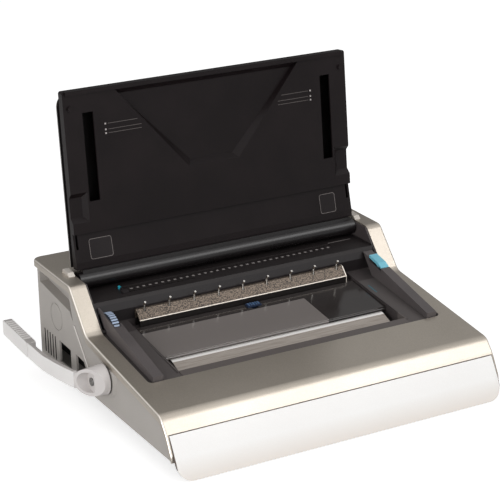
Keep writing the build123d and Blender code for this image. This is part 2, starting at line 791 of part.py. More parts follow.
with BuildPart() as deck_liner:
    front_trough = [
        (liner_front_y, liner_foot_z),
        ledge_front,
        ledge_rear,
        (ledge_rear_y, trough_floor_z),
        (trough_rear_y, trough_floor_z),
    ]
    prism(sheet_outline(front_trough, -mould_wall), -trough_half, trough_half)
    step_sheet = [(liner_front_y, liner_foot_z), step_front, step_rear]
    prism_pair(sheet_outline(step_sheet, -mould_wall), trough_half, step_outer_x)
    end_wall = [
        (ledge_rear_y - mould_wall, trough_floor_z - mould_wall),
        (step_rear_y, trough_floor_z - mould_wall),
        (step_rear_y, step_rear[1] - mould_wall / 2),
        (ledge_rear_y - mould_wall, on_slope(ledge_rear_y) - ledge_drop),
    ]
    prism_pair(end_wall, trough_half, trough_outer_x)
    shelf_sheet = [(shelf_front_y, shelf_z), (step_rear_y, shelf_z)]
    rear_sheet = [
        (step_rear_y, shelf_z - mould_wall),
        (step_rear_y, rear_wall_z),
        (throat_top_y, throat_top_z),
        (throat_rear_y, throat_top_z),
        (throat_rear_y, on_deck(throat_rear_y) - hood_wall - seat_gap),
    ]
    prism(sheet_outline(rear_sheet, -mould_wall), -step_outer_x, step_outer_x)
    prism(sheet_outline(shelf_sheet, -mould_wall), -trough_outer_x, trough_outer_x)
    side_wall = [
        (liner_front_y, liner_foot_z),
        (liner_front_y, on_slope(liner_front_y) - ledge_drop),
        (low_bend_y, low_bend_z - wall_top_drop),
        (high_bend_y, high_bend_z - wall_top_drop),
        (throat_rear_y - well_corner, on_deck(throat_rear_y) - wall_top_drop),
        (throat_rear_y - well_corner, on_deck(throat_rear_y) - hood_wall - seat_gap),
        (throat_rear_y + mould_wall, on_deck(throat_rear_y) - hood_wall - seat_gap),
        (throat_rear_y + mould_wall, throat_top_z - mould_wall),
        (step_rear_y, shelf_z - mould_wall),
    ]
    prism_pair(side_wall, step_outer_x, liner_outer_x)
    prism(
        leaned_box(slot_y, throat_top_z, punch_lean, -slot_mouth / 2, slot_mouth / 2,
                   -cut_over, cut_over),
        -slot_half, slot_half, Mode.SUBTRACT,
    )
    block(
        guide_slit_from, guide_slit_to, guide_slit_y - guide_slit_width / 2,
        guide_slit_y + guide_slit_width / 2, throat_top_z - cut_over,
        throat_top_z + cut_over, Mode.SUBTRACT,
    )
    block(
        -dial_outer_x - dial_play, dial_play - dial_inner_x, dial_y - dial_radius - dial_play,
        dial_y + dial_radius + dial_play, dial_z - dial_radius, rear_wall_z, Mode.SUBTRACT,
    )
    block_pair(
        trough_outer_x, step_outer_x, shelf_front_y + cut_over, step_rear_y,
        trough_floor_z, step_rear[1] - mould_wall - cut_over, Mode.SUBTRACT,
    )
    rod(
        lever_y, lever_z, lever_shaft_radius + mould_wall / 2, -trough_outer_x - cut_over,
        cut_over - trough_half, Mode.SUBTRACT,
    )
    block(
        -dial_lug_outer_x, -dial_lug_inner_x, dial_y - dial_lug_half, dial_y + dial_lug_half,
        dial_lug_low_z, on_slope(dial_y - dial_lug_half) - step_drop - seat_gap,
    )
    rod(
        dial_y, dial_z, dial_axle_radius + shaft_gap, -liner_outer_x - cut_over,
        cut_over - dial_lug_inner_x, Mode.SUBTRACT,
    )
    rod(
        storage_hinge_y, storage_hinge_z, storage_pin_radius + shaft_gap,
        -trough_outer_x - cut_over, trough_outer_x + cut_over, Mode.SUBTRACT,
    )
    with BuildSketch(Plane.XY) as liner_plan:
        with Locations((0, (liner_front_y + deck_rear_y) / 2)):
            RectangleRounded(
                2 * liner_outer_x, deck_rear_y - liner_front_y, well_corner - seat_gap
            )
    extrude(liner_plan.sketch, amount=deck_rear_z, mode=Mode.INTERSECT)
    for side in (-1, 1):
        rod(
            hinge_y, hinge_z, hinge_pin_radius + seat_gap, side * (step_outer_x - cut_over),
            side * (liner_outer_x + cut_over), Mode.SUBTRACT,
        )
save(deck_liner, "deck_liner")

# Arms: hollow mouldings, open below, seated on the steps
arm_top_rear = (arm_rear_y, on_arm(arm_rear_y))
arm_outline = [
    (arm_front_y, on_slope(arm_front_y) - step_drop + seat_gap),
    (arm_heel_y, on_slope(arm_heel_y) - step_drop + seat_gap),
    arm_top_rear,
    (arm_front_y, arm_front_z),
]
arm_hollow = [
    (arm_front_y + arm_wall, on_slope(arm_front_y) - step_drop - cut_over),
    (arm_heel_y, on_slope(arm_heel_y) - step_drop - cut_over),
    (arm_heel_y - arm_wall, on_slope(arm_heel_y) - step_drop + seat_gap),
    (arm_rear_y - 2 * arm_wall, on_arm(arm_rear_y) - 2 * arm_wall),
    (arm_front_y + arm_wall, on_arm(arm_front_y) - arm_wall),
]
button_front_y = 20.0
button_rear_y = 48.0
button_y = (button_front_y + button_rear_y) / 2
button_rise = 2.5
saddle_depth = 4.4
stem_radius = 2.2
arm_middle_x = (arm_inner_x + arm_outer_x) / 2

with BuildPart() as left_arm:
    prism(arm_outline, -arm_outer_x, -arm_inner_x)
    prism(arm_hollow, -arm_outer_x + arm_wall, -arm_inner_x - arm_wall, Mode.SUBTRACT)
    block(
        -arm_outer_x + arm_wall, cut_over - arm_inner_x, dial_y - dial_radius + 2 * arm_wall,
        arm_rear_y + cut_over, step_rear[1] + arm_wall, throat_top_z, Mode.SUBTRACT,
    )
    block(
        -arm_outer_x + arm_wall, -arm_inner_x - arm_wall, dial_y - dial_radius - dial_play,
        arm_rear_y + cut_over, shelf_z, throat_top_z, Mode.SUBTRACT,
    )
    rod(
        dial_y, dial_z, dial_axle_radius + seat_gap, -arm_outer_x - cut_over,
        cut_over - arm_inner_x, Mode.SUBTRACT,
    )
save(left_arm, "left_arm")

with BuildPart() as right_arm:
    prism(arm_outline, arm_inner_x, arm_outer_x)
    prism(arm_hollow, arm_inner_x + arm_wall, arm_outer_x - arm_wall, Mode.SUBTRACT)
    saddle = [
        (button_front_y - slide_gap, on_arm(button_front_y) - saddle_depth),
        (button_rear_y + slide_gap, on_arm(button_rear_y) - saddle_depth),
        (button_rear_y + slide_gap, throat_top_z),
        (button_front_y - slide_gap, throat_top_z),
    ]
    prism(saddle, arm_inner_x - cut_over, arm_outer_x + cut_over, Mode.SUBTRACT)
save(right_arm, "right_arm")

# Size dial: a ribbed wheel on its own axle, which turns in the left frame
dial_rib_count = 36
dial_rib_radius = 0.9

with BuildPart() as size_dial:
    with BuildSketch(Plane.YZ.offset(-dial_outer_x)) as wheel:
        with Locations((dial_y, dial_z)):
            Circle(dial_radius)
            with PolarLocations(dial_radius, dial_rib_count):
                Circle(dial_rib_radius, mode=Mode.SUBTRACT)
    extrude(wheel.sketch, amount=dial_outer_x - dial_inner_x)
    rod(dial_y, dial_z, dial_axle_radius, -liner_outer_x, -dial_lug_inner_x)
save(size_dial, "size_dial")

# Punch button, its return spring and the switch under it, in the right arm
button_inset = 0.8
button_rim = 0.9
button_foot_z = on_arm(button_y) - saddle_depth + button_rise
stem_foot_z = 101.0
switch_low_z = 91.4
switch_body_z = 97.0
plunger_radius = 1.4
plunger_z = 97.7
spring_radius = 3.3
spring_wire = 0.4
spring_turns = 4
spring_foot_z = switch_body_z + spring_wire

with BuildPart() as punch_button:
    button_outline = [
        (button_front_y, on_arm(button_front_y) - button_rim),
        (button_rear_y, on_arm(button_rear_y) - button_rim),
        (button_rear_y, on_arm(button_rear_y) + button_rise),
        (button_front_y + 3 * button_rise, on_arm(button_front_y) + 2 * button_rise),
        (button_front_y, on_arm(button_front_y) + button_rim),
    ]
    prism(button_outline, arm_inner_x + button_inset, arm_outer_x - button_inset)
    post(arm_middle_x, button_y, stem_radius, stem_foot_z, on_arm(button_y))
    post(arm_middle_x, button_y, spring_radius + spring_wire, button_foot_z, on_arm(button_y))
save(punch_button, "punch_button")

spring_height = button_foot_z - spring_foot_z - 2 * spring_wire
with BuildPart() as button_spring:
    with BuildLine() as coil_line:
        Helix(
            pitch=spring_height / spring_turns, height=spring_height, radius=spring_radius,
            center=(arm_middle_x, button_y, spring_foot_z),
        )
    with BuildSketch(Plane(origin=coil_line.line @ 0, z_dir=coil_line.line % 0)):
        Circle(spring_wire)
    sweep(is_frenet=True)
save(button_spring, "button_spring")

switch_reach = 4.4
switch_side_gap = 1.0
with BuildPart() as button_switch:
    block(
        arm_inner_x + arm_wall + switch_side_gap, arm_outer_x - arm_wall - switch_side_gap,
        button_y - switch_reach, button_y + switch_reach, switch_low_z, switch_body_z,
    )
    post(arm_middle_x, button_y, plunger_radius, switch_body_z, plunger_z)
save(button_switch, "button_switch")

# Hook bar and its nine hooks
bar_skirt_y = 45.3
bar_face_low_z = 95.6
bar_face_high_y = 55.6
bar_face_high_z = 106.6
bar_rear_y = 59.6
bar_foot_z = shelf_z + seat_gap
hook_radius = 1.3
hook_y = 54.0
hook_foot_z = 101.5
hook_knee_z = 112.5
hook_tip_y = 50.6
hook_tip_z = 116.2
hook_bend = 3.0

with BuildPart() as hook_bar:
    bar_sheet = [
        (bar_skirt_y, bar_foot_z),
        (bar_skirt_y, bar_face_low_z),
        (bar_face_high_y, bar_face_high_z),
        (bar_rear_y, bar_face_high_z),
        (bar_rear_y, bar_foot_z),
    ]
    prism(sheet_outline(bar_sheet, -sheet_steel), -bar_half, bar_half)
    for hook_x in hook_xs:
        post(
            hook_x, hook_y, hook_radius + seat_gap, bar_face_low_z,
            bar_face_high_z + cut_over, Mode.SUBTRACT,
        )
save(hook_bar, "hook_bar")

with BuildPart() as wire_hooks:
    for hook_x in hook_xs:
        with BuildLine(Plane.YZ.offset(hook_x)) as hook_line:
            FilletPolyline(
                (hook_y, hook_foot_z), (hook_y, hook_knee_z), (hook_tip_y, hook_tip_z),
                radius=hook_bend,
            )
        with BuildSketch(Plane.XY.offset(hook_foot_z)) as hook_end:
            with Locations((hook_x, hook_y)):
                Circle(hook_radius)
        sweep(hook_end.sketch, path=hook_line.line)
save(wire_hooks, "wire_hooks")

# Storage compartment: a tray for spare wires, its tilting lid and the sliding latch
storage_drop = 5.0
storage_half = trough_half - 2 * slide_gap
storage_front_y = -31.0
storage_rear_gap = 1.0
storage_rear_y = shelf_front_y - storage_rear_gap
storage_hinge_radius = 2.4
storage_pin_x = trough_outer_x - seat_gap
latch_x = 5.0
latch_half = 9.5
latch_front_y = 33.0
latch_rear_y = 41.0
latch_height = 2.2
latch_stem = 4.0
latch_stroke = 5.0
latch_tongue_rear_y = 48.5
tongue_wall = 2.0
tongue_top_z = shelf_z - mould_wall - slide_gap
tray_inside_wall = 2.0
gear_inset = 35.0
gear_x = trough_half - gear_inset
store_inset = 15.0
store_half = gear_x - store_inset
store_front_y = -6.0
store_rear_y = 40.0
store_top_z = 76.0


def on_storage(y):
    """Height of the top face of the storage lid at y."""
    return on_slope(y) - storage_drop


with BuildPart() as storage_lid:
    lid_sheet = [
        (storage_front_y, on_storage(storage_front_y)),
        (storage_rear_y, on_storage(storage_rear_y)),
    ]
    prism(sheet_outline(lid_sheet, -mould_wall), -storage_half, storage_half)
    rod(
        storage_hinge_y, storage_hinge_z, storage_hinge_radius, -storage_half, storage_half
    )
    rod(storage_hinge_y, storage_hinge_z, storage_pin_radius, -storage_pin_x, storage_pin_x)
    block(
        latch_x - latch_stem - slide_gap, latch_x + latch_stem + slide_gap,
        latch_front_y + latch_stem / 2 - latch_stroke, latch_rear_y, shelf_z - 2 * cut_over,
        throat_top_z, Mode.SUBTRACT,
    )
save(storage_lid, "storage_lid")

with BuildPart() as storage_latch:
    latch_cap = [
        (latch_front_y, on_storage(latch_front_y) + seat_gap),
        (latch_rear_y, on_storage(latch_rear_y) + seat_gap),
        (latch_rear_y, on_storage(latch_rear_y) + latch_height),
        (latch_front_y, on_storage(latch_front_y) + latch_height),
    ]
    prism(latch_cap, latch_x - latch_half, latch_x + latch_half)
    for groove_index in range(1, 4):
        groove_y = latch_front_y + groove_index * (latch_rear_y - latch_front_y) / 4
        block(
            latch_x - latch_half, latch_x + latch_half, groove_y - seat_gap,
            groove_y + seat_gap, on_storage(groove_y) + latch_height - 2 * seat_gap,
            throat_top_z, Mode.SUBTRACT,
        )
    block(
        latch_x - latch_stem, latch_x + latch_stem, latch_front_y + latch_stem,
        latch_rear_y - seat_gap, tongue_top_z - tongue_wall,
        on_storage(latch_front_y + latch_stem) + 2 * seat_gap,
    )
    block(
        latch_x - latch_half, latch_x + latch_half, latch_front_y, latch_tongue_rear_y,
        tongue_top_z - tongue_wall, tongue_top_z - seat_gap,
    )
save(storage_latch, "storage_latch")

with BuildPart() as storage_tray:
    block(-store_half, store_half, store_front_y, store_rear_y, chassis_top_z, store_top_z)
    block(
        -store_half + tray_inside_wall, store_half - tray_inside_wall,
        store_front_y + tray_inside_wall, store_rear_y - tray_inside_wall,
        chassis_top_z + tray_inside_wall, store_top_z + cut_over, Mode.SUBTRACT,
    )
save(storage_tray, "storage_tray")

# Closing trough: the fixed strip, the moving jaw with its two racks, and what guides it
anvil_inset = 5.0
anvil_half = trough_half - anvil_inset
anvil_low_z = 58.5
anvil_high_z = 76.0
anvil_wall = 2.0
jaw_inset = 9.0
jaw_half = trough_half - jaw_inset
jaw_front_y = -56.0
jaw_foot_z = 60.0
jaw_face_z = 67.5
jaw_top_y = -37.0
jaw_top_z = 74.6
jaw_rear_y = trough_rear_y
jaw_wall = 2.0
jaw_stroke = 11.5
gear_half = 4.0
rack_half = 3.0
gear_module = 1.0
pinion_teeth = 12
pinion_pitch_radius = gear_module * pinion_teeth / 2
dedendum_share = 1.25
rack_back = 3.25
rack_root_z = lever_z + pinion_pitch_radius + dedendum_share * gear_module
rack_top_z = rack_root_z + rack_back
rack_tip_z = lever_z + pinion_pitch_radius - gear_module
rack_tooth_from = -5
rack_tooth_to = 7
rack_tail_y = 27.0
tooth_root_share = 0.62
tooth_tip_share = 0.22
rail_front_y = 6.0
rail_rear_y = 13.0
rail_half = 8.0
rail_top_z = 76.0
strip_width = 22.0
strip_outer_x = anvil_half
strip_inner_x = strip_outer_x - strip_width
bearing_inset = 11.0
bearing_width = 8.0
bearing_inner_x = gear_x + bearing_inset
bearing_outer_x = bearing_inner_x + bearing_width
bearing_half = 8.0
bearing_top_z = 70.0
bush_flange_radius = 8.0

with BuildPart() as closing_anvil:
    block(
        -anvil_half, anvil_half, ledge_rear_y + seat_gap, ledge_rear_y + seat_gap + anvil_wall,
        anvil_low_z, anvil_high_z,
    )
save(closing_anvil, "closing_anvil")

with BuildPart() as jaw_bar:
    jaw_sheet = [
        (jaw_front_y, jaw_foot_z),
        (jaw_front_y, jaw_face_z),
        (jaw_top_y, jaw_top_z),
        (jaw_rear_y, jaw_top_z),
        (jaw_rear_y, jaw_foot_z),
    ]
    prism(sheet_outline(jaw_sheet, -jaw_wall), -jaw_half, jaw_half)
save(jaw_bar, "jaw_bar")

with BuildPart() as jaw_racks:
    tooth_pitch = pi * gear_module
    for side in (-1, 1):
        near_x = side * gear_x - rack_half
        far_x = side * gear_x + rack_half
        block(near_x, far_x, jaw_rear_y, rack_tail_y, rack_root_z, rack_top_z)
        for index in range(rack_tooth_from, rack_tooth_to):
            tooth_y = lever_y + (index + 0.5) * tooth_pitch
            tooth = [
                (tooth_y - tooth_root_share * tooth_pitch / 2, rack_root_z),
                (tooth_y + tooth_root_share * tooth_pitch / 2, rack_root_z),
                (tooth_y + tooth_tip_share * tooth_pitch / 2, rack_tip_z),
                (tooth_y - tooth_tip_share * tooth_pitch / 2, rack_tip_z),
            ]
            prism(tooth, near_x, far_x)
save(jaw_racks, "jaw_racks")

with BuildPart() as jaw_guides:
    for side in (-1, 1):
        block(
            side * gear_x - rail_half, side * gear_x + rail_half, rail_front_y, rail_rear_y,
            chassis_top_z, rail_top_z,
        )
        block(
            side * gear_x - rack_half - slide_gap, side * gear_x + rack_half + slide_gap,
            rail_front_y - cut_over, rail_rear_y + cut_over, rack_root_z - slide_gap,
            rack_top_z + slide_gap, Mode.SUBTRACT,
        )
    block_pair(
        strip_inner_x, strip_outer_x, jaw_front_y - jaw_stroke, trough_rear_y,
        trough_floor_z, jaw_foot_z - seat_gap,
    )
save(jaw_guides, "jaw_guides")

with BuildPart() as shaft_bearings:
    for side in (-1, 1):
        block(
            side * bearing_inner_x, side * bearing_outer_x, lever_y - bearing_half,
            lever_y + bearing_half, chassis_top_z, bearing_top_z,
        )
    rod(lever_y, lever_z, bush_outer_radius - shaft_gap, -frame_outer_x - mould_wall,
        -frame_inner_x)
    rod(lever_y, lever_z, bush_flange_radius, -frame_inner_x, mould_wall - frame_inner_x)
    rod(
        lever_y, lever_z, lever_shaft_radius + shaft_gap, -body_half_width,
        body_half_width, Mode.SUBTRACT,
    )
save(shaft_bearings, "shaft_bearings")


def gear(module, teeth, y, z, x_from, x_to, phase, bore):
    """Spur gear on the X axis with straight-flanked teeth; phase turns it, in degrees."""
    outline = []
    pitch_radius = module * teeth / 2
    for index in range(teeth):
        middle = radians(phase) + index * 2 * pi / teeth
        corners = [
            (pitch_radius - dedendum_share * module, -tooth_root_share),
            (pitch_radius + module, -tooth_tip_share),
            (pitch_radius + module, tooth_tip_share),
            (pitch_radius - dedendum_share * module, tooth_root_share),
        ]
        for radius, share in corners:
            angle = middle + share * pi / teeth
            outline.append((y + radius * cos(angle), z + radius * sin(angle)))
    prism(outline, x_from, x_to)
    if bore > 0:
        rod(y, z, bore, x_from - cut_over, x_to + cut_over, Mode.SUBTRACT)


# Lever, its shaft and the two pinions that drive the racks
shaft_end = 2.0
shaft_end_x = bearing_outer_x + shaft_end
hub_root_radius = 18.5
hub_radius = 15.5
hub_gap = 2.0
hub_reach = 20.0
hub_length = 33.0
cup_floor_reach = 15.0
shaft_inset = 2.0
arm_face_reach = 27.0
lever_wall = 5.0
hub_inner_x = boss_face_x + hub_gap
hub_axis_x = hub_inner_x + hub_reach
hub_slant_share = 0.74
hub_far_x = hub_inner_x + hub_length
cup_radius = 12.5
cup_floor_x = hub_inner_x + cup_floor_reach
shaft_outer_x = cup_floor_x - shaft_inset
arm_face_x = hub_inner_x + arm_face_reach
arm_back_x = arm_face_x - lever_wall
lever_depth = 20.0
grip_start_y = 151.0
grip_start_z = 52.5
grip_end_y = 230.0
grip_end_z = 56.0
grip_thickness = 12.0
grip_proud = 0.6
grip_inner_x = arm_face_x - grip_thickness
grip_outer_x = arm_face_x + grip_proud
grip_edge_radius = 3.0
grip_face_radius = 2.0
tang_end_y = 214.0
tang_inset = 5.0
tang_step = 1.0

# Top line of the lever, from the hub to the neck of the grip: how far each corner is along
# the way from the axle to the grip, and how high it stands as a share of the drop to the grip
lever_root_z = 71.5
lever_along_shares = [0.0599, 0.1557, 0.2275, 0.4671, 0.7246]
lever_height_shares = [1.0, 0.7105, 0.5947, 0.2632, 0.0]
lever_top = [
    (
        lever_y + along * (grip_start_y - lever_y),
        grip_start_z + height * (lever_root_z - grip_start_z),
    )
    for along, height in zip(lever_along_shares, lever_height_shares)
]

with BuildPart() as lever_shaft:
    rod(lever_y, lever_z, lever_shaft_radius, -shaft_outer_x, shaft_end_x)
save(lever_shaft, "lever_shaft")

with BuildPart() as lever_pinions:
    for side in (-1, 1):
        gear(
            gear_module, pinion_teeth, lever_y, lever_z, side * gear_x - gear_half,
            side * gear_x + gear_half, 90, lever_shaft_radius + shaft_gap,
        )
save(lever_pinions, "lever_pinions")

with BuildPart() as lever_arm:
    with BuildSketch(Plane.YZ.offset(-hub_far_x)) as hub_rim:
        with Locations((lever_y, lever_z)):
            Circle(hub_radius)
    with BuildSketch(Plane.YZ.offset(-hub_inner_x)) as hub_root:
        with Locations((lever_y, lever_z)):
            Circle(hub_root_radius)
    loft([hub_rim.sketch, hub_root.sketch])
    slant_y = 2 * hub_radius
    with BuildSketch(Plane.XY) as slant:
        with BuildLine():
            Polyline(
                (-hub_axis_x + slant_y * hub_slant_share, lever_y - slant_y),
                (-hub_axis_x - slant_y * hub_slant_share, lever_y + slant_y),
                (-hub_axis_x - 2 * slant_y, lever_y + slant_y),
                (-hub_axis_x - 2 * slant_y, lever_y - slant_y),
                close=True,
            )
        make_face()
    extrude(slant.sketch, amount=2 * lever_z, mode=Mode.SUBTRACT)
    lever_low = [(y, z - lever_depth) for y, z in lever_top]
    lever_neck = [(grip_start_y - seat_gap, grip_start_z)]
    lever_neck_low = [(grip_start_y - seat_gap, grip_start_z - lever_depth)]
    prism(
        lever_top + lever_neck + lever_neck_low + lever_low[::-1], -arm_face_x, -arm_back_x
    )
    tang = [
        (grip_start_y - tang_inset, grip_start_z - tang_inset),
        (tang_end_y, grip_end_z - tang_inset),
        (tang_end_y, grip_end_z - lever_depth + tang_inset),
        (grip_start_y - tang_inset, grip_start_z - lever_depth + tang_inset),
    ]
    prism(tang, -arm_face_x + tang_step, -arm_back_x)
    rod(lever_y, lever_z, cup_radius, -hub_far_x - cut_over, -cup_floor_x, Mode.SUBTRACT)
    rod(
        lever_y, lever_z, lever_shaft_radius + shaft_gap, -hub_far_x, cut_over - hub_inner_x,
        Mode.SUBTRACT,
    )
save(lever_arm, "lever_arm")

with BuildPart() as lever_grip:
    grip_outline = [
        (grip_start_y, grip_start_z),
        (grip_end_y, grip_end_z),
        (grip_end_y, grip_end_z - lever_depth),
        (grip_start_y, grip_start_z - lever_depth),
    ]
    prism(grip_outline, -grip_outer_x, -grip_inner_x)
    fillet(lever_grip.edges().filter_by(Axis.X), grip_edge_radius)
    fillet(lever_grip.faces().sort_by(Axis.X)[-1].edges(), grip_face_radius)
    tang_pocket = [
        (grip_start_y - tang_inset, grip_start_z - tang_inset + seat_gap),
        (tang_end_y + seat_gap, grip_end_z - tang_inset + seat_gap),
        (tang_end_y + seat_gap, grip_end_z - lever_depth + tang_inset - seat_gap),
        (grip_start_y - tang_inset, grip_start_z - lever_depth + tang_inset - seat_gap),
    ]
    prism(
        tang_pocket, -arm_face_x + tang_step - seat_gap, -arm_back_x + seat_gap, Mode.SUBTRACT
    )
save(lever_grip, "lever_grip")

hub_screw_radius = 5.0
hub_screw_height = 1.6
with BuildPart() as lever_screw:
    rod(lever_y, lever_z, hub_screw_radius, -cup_floor_x - hub_screw_height, -cup_floor_x)
save(lever_screw, "lever_screw")

# Document lid: a shallow shell behind a boxed liner, and the barrel and pins of its hinge.
# Lid sizes run across (x), up the lid from the hinge axis, and back through its thickness.
lid_lean = 5.3
lid_inset = 3.5
lid_half = well_half_width - lid_inset
lid_low = 13.3
lid_high = 231.0
lid_back = 24.0
lid_front = -1.0
lid_wall = 2.5
shell_front = 17.5
shell_top_drop = 4.0
shell_corner = 18.0
shell_edge_radius = 5.0
spigot_front = 8.0
liner_back = 10.0
liner_corner = 3.0
lip_reach = 3.5
lip_height = 5.0
recess_inset = 69.0
recess_top_half = lid_half - recess_inset
recess_top = 225.0
recess_foot_half = 35.0
recess_foot = 117.0
recess_depth = 7.0
recess_slope = 6.0
scoop_top = 57.0
scoop_foot = 22.0
scoop_depth = 5.5
notch_low = 70.5
notch_high = 107.0
notch_inset = 22.0
notch_inner_x = lid_half - notch_inset
notch_slope = 6.0
notch_depth = 6.0
lid_slot_inset = 24.0
lid_slot_width = 14.0
lid_slot_outer_x = lid_half - lid_slot_inset
lid_slot_inner_x = lid_slot_outer_x - lid_slot_width
lid_slot_low = 95.0
lid_slot_high = 203.0
bumper_inset = 8.0
bumper_x = lid_half - bumper_inset
bumper_up = 210.0
bumper_radius = 3.0
bumper_height = 3.0
barrel_radius = 10.0
barrel_inset = 0.5
barrel_half = lid_half - barrel_inset
barrel_flange = 5.0


def leaning_plane(plane_y, plane_z, lean, back):
    """Plane that faces the front and leans back; its own axes run along X and up."""
    start_y, start_z = leaned(plane_y, plane_z, lean, back, 0)
    turn = radians(lean)
    return Plane(origin=(0, start_y, start_z), x_dir=(1, 0, 0), z_dir=(0, -cos(turn), sin(turn)))


def lid_plane(back):
    """Plane of the lid at a distance behind its hinge axis."""
    return leaning_plane(hinge_y, hinge_z, lid_lean, back)


def lid_slab(half, low, high, corner, back_from, back_to, mode=Mode.ADD):
    """Slab of the lid with rounded upper corners."""
    with BuildSketch(lid_plane(back_from)) as slab:
        with BuildLine():
            Line((-half, low), (half, low))
            Line((half, low), (half, high - corner))
            RadiusArc((half, high - corner), (half - corner, high), -corner)
            Line((half - corner, high), (corner - half, high))
            RadiusArc((corner - half, high), (-half, high - corner), -corner)
            Line((-half, high - corner), (-half, low))
        make_face()
    extrude(slab.sketch, amount=back_from - back_to, mode=mode)


def lid_box(x_from, x_to, low, high, back_from, back_to, mode=Mode.ADD):
    """Straight-sided block in the directions of the lid."""
    outline = leaned_box(hinge_y, hinge_z, lid_lean, back_to, back_from, low, high)
    prism(outline, x_from, x_to, mode)


def lid_prism(outline, x_from, x_to, mode=Mode.ADD):
    """Side outline of (back, up) points of the lid, carried across it."""
    points = [leaned(hinge_y, hinge_z, lid_lean, back, up) for back, up in outline]
    prism(points, x_from, x_to, mode)


def lid_pan(floor_outline, mouth_outline, floor_back, mouth_back, mode):
    """Sloping-sided block between two outlines of (x, up) points on planes of the lid."""
    with BuildSketch(lid_plane(floor_back)) as pan_floor:
        with BuildLine():
            Polyline(*floor_outline, close=True)
        make_face()
    with BuildSketch(lid_plane(mouth_back)) as pan_mouth:
        with BuildLine():
            Polyline(*mouth_outline, close=True)
        make_face()
    loft([pan_floor.sketch, pan_mouth.sketch], mode=mode)


def recess_outline(grow):
    """Upright outline of the recess, wide at the top, grown all round."""
    return [
        (-recess_top_half - grow, recess_top + grow),
        (-recess_foot_half - grow, recess_foot - grow),
        (recess_foot_half + grow, recess_foot - grow),
        (recess_top_half + grow, recess_top + grow),
    ]


def notch_outline(side, grow):
    """Outline of the finger notch at one edge, grown to the inside, up and down."""
    return [
        (side * (notch_inner_x - grow), notch_low - grow),
        (side * lid_half, notch_low - grow),
        (side * lid_half, notch_high + grow),
        (side * (notch_inner_x - grow), notch_high + grow),
    ]


with BuildPart() as lid_shell:
    shell_high = lid_high - shell_top_drop
    spigot_inset = lid_wall + seat_gap
    hollow_inset = spigot_inset + lid_wall
    lid_slab(lid_half, lid_low, shell_high, shell_corner, lid_back, shell_front)
    back_face = next(face for face in lid_shell.faces() if face.normal_at().Y > 0.9)
    back_edges = back_face.edges()
    fillet(back_edges, shell_edge_radius)
    lid_slab(
        lid_half - spigot_inset, lid_low + spigot_inset, shell_high - spigot_inset,
        shell_corner - spigot_inset, shell_front, spigot_front,
    )
    lid_slab(
        lid_half - hollow_inset, lid_low + hollow_inset, shell_high - hollow_inset,
        shell_corner - hollow_inset, lid_back - lid_wall, spigot_front - cut_over, Mode.SUBTRACT,
    )
save(lid_shell, "lid_shell")

with BuildPart() as lid_liner:
    face_back = lid_front + lid_wall
    lid_slab(lid_half, lid_low, lid_high, liner_corner, liner_back, lid_front)
    lid_slab(
        lid_half - lid_wall, lid_low + lid_wall, lid_high - lid_wall, liner_corner,
        liner_back + cut_over, face_back, Mode.SUBTRACT,
    )
    lid_box(
        liner_corner - lid_half, lid_half - liner_corner, lid_high - lip_height, lid_high,
        lid_front, lid_front - lip_reach,
    )
    backing_half = lid_half - hollow_inset - seat_gap
    lid_prism(
        [(lid_front, scoop_foot - lid_wall), (lid_front, scoop_top + lid_wall),
         (lid_front + scoop_depth + lid_wall, scoop_top + lid_wall),
         (face_back, scoop_foot - lid_wall)],
        -backing_half, backing_half,
    )
    lid_prism(
        [(lid_front - cut_over, scoop_foot), (lid_front - cut_over, scoop_top),
         (lid_front + scoop_depth, scoop_top), (lid_front, scoop_foot)],
        -lid_half - cut_over, lid_half + cut_over, Mode.SUBTRACT,
    )
    lid_pan(
        recess_outline(lid_wall - recess_slope), recess_outline(lid_wall),
        lid_front + recess_depth + lid_wall, lid_front, Mode.ADD,
    )
    lid_pan(
        recess_outline(-recess_slope), recess_outline(0), lid_front + recess_depth,
        lid_front, Mode.SUBTRACT,
    )
    for side in (-1, 1):
        lid_pan(
            notch_outline(side, lid_wall - notch_slope), notch_outline(side, lid_wall),
            lid_front + notch_depth + lid_wall, lid_front, Mode.ADD,
        )
        lid_pan(
            notch_outline(side, -notch_slope), notch_outline(side, 0),
            lid_front + notch_depth, lid_front, Mode.SUBTRACT,
        )
        lid_box(
            side * lid_slot_inner_x, side * lid_slot_outer_x, lid_slot_low, lid_slot_high,
            liner_back, lid_front - cut_over, Mode.SUBTRACT,
        )
        with BuildSketch(lid_plane(lid_front)) as bumper:
            with Locations((side * bumper_x, bumper_up)):
                Circle(bumper_radius)
        extrude(bumper.sketch, amount=bumper_height)
save(lid_liner, "lid_liner")

with BuildPart() as hinge_barrel:
    rod(hinge_y, hinge_z, barrel_radius, -barrel_half, barrel_half)
    lid_box(
        -barrel_half + cut_over, barrel_half - cut_over, 0, lid_low, barrel_flange, -barrel_flange
    )
    rod(hinge_y, hinge_z, hinge_pin_radius + shaft_gap, -barrel_half - cut_over,
        cut_over * 2 - barrel_half, Mode.SUBTRACT)
    rod(hinge_y, hinge_z, hinge_pin_radius + shaft_gap, barrel_half - cut_over * 2,
        barrel_half + cut_over, Mode.SUBTRACT)
save(hinge_barrel, "hinge_barrel")

with BuildPart() as hinge_pins:
    for side in (-1, 1):
        rod(
            hinge_y, hinge_z, hinge_pin_radius, side * (barrel_half - 2 * cut_over + seat_gap),
            side * hinge_pin_outer_x,
        )
save(hinge_pins, "hinge_pins")

cap_inset = 0.5
cap_width = 8.0
cap_inner_x = well_half_width + cap_inset
cap_outer_x = cap_inner_x + cap_width
cap_front_y = 110.0
cap_rear_y = 131.0
cap_height = 5.0
cap_front_height = 4.0

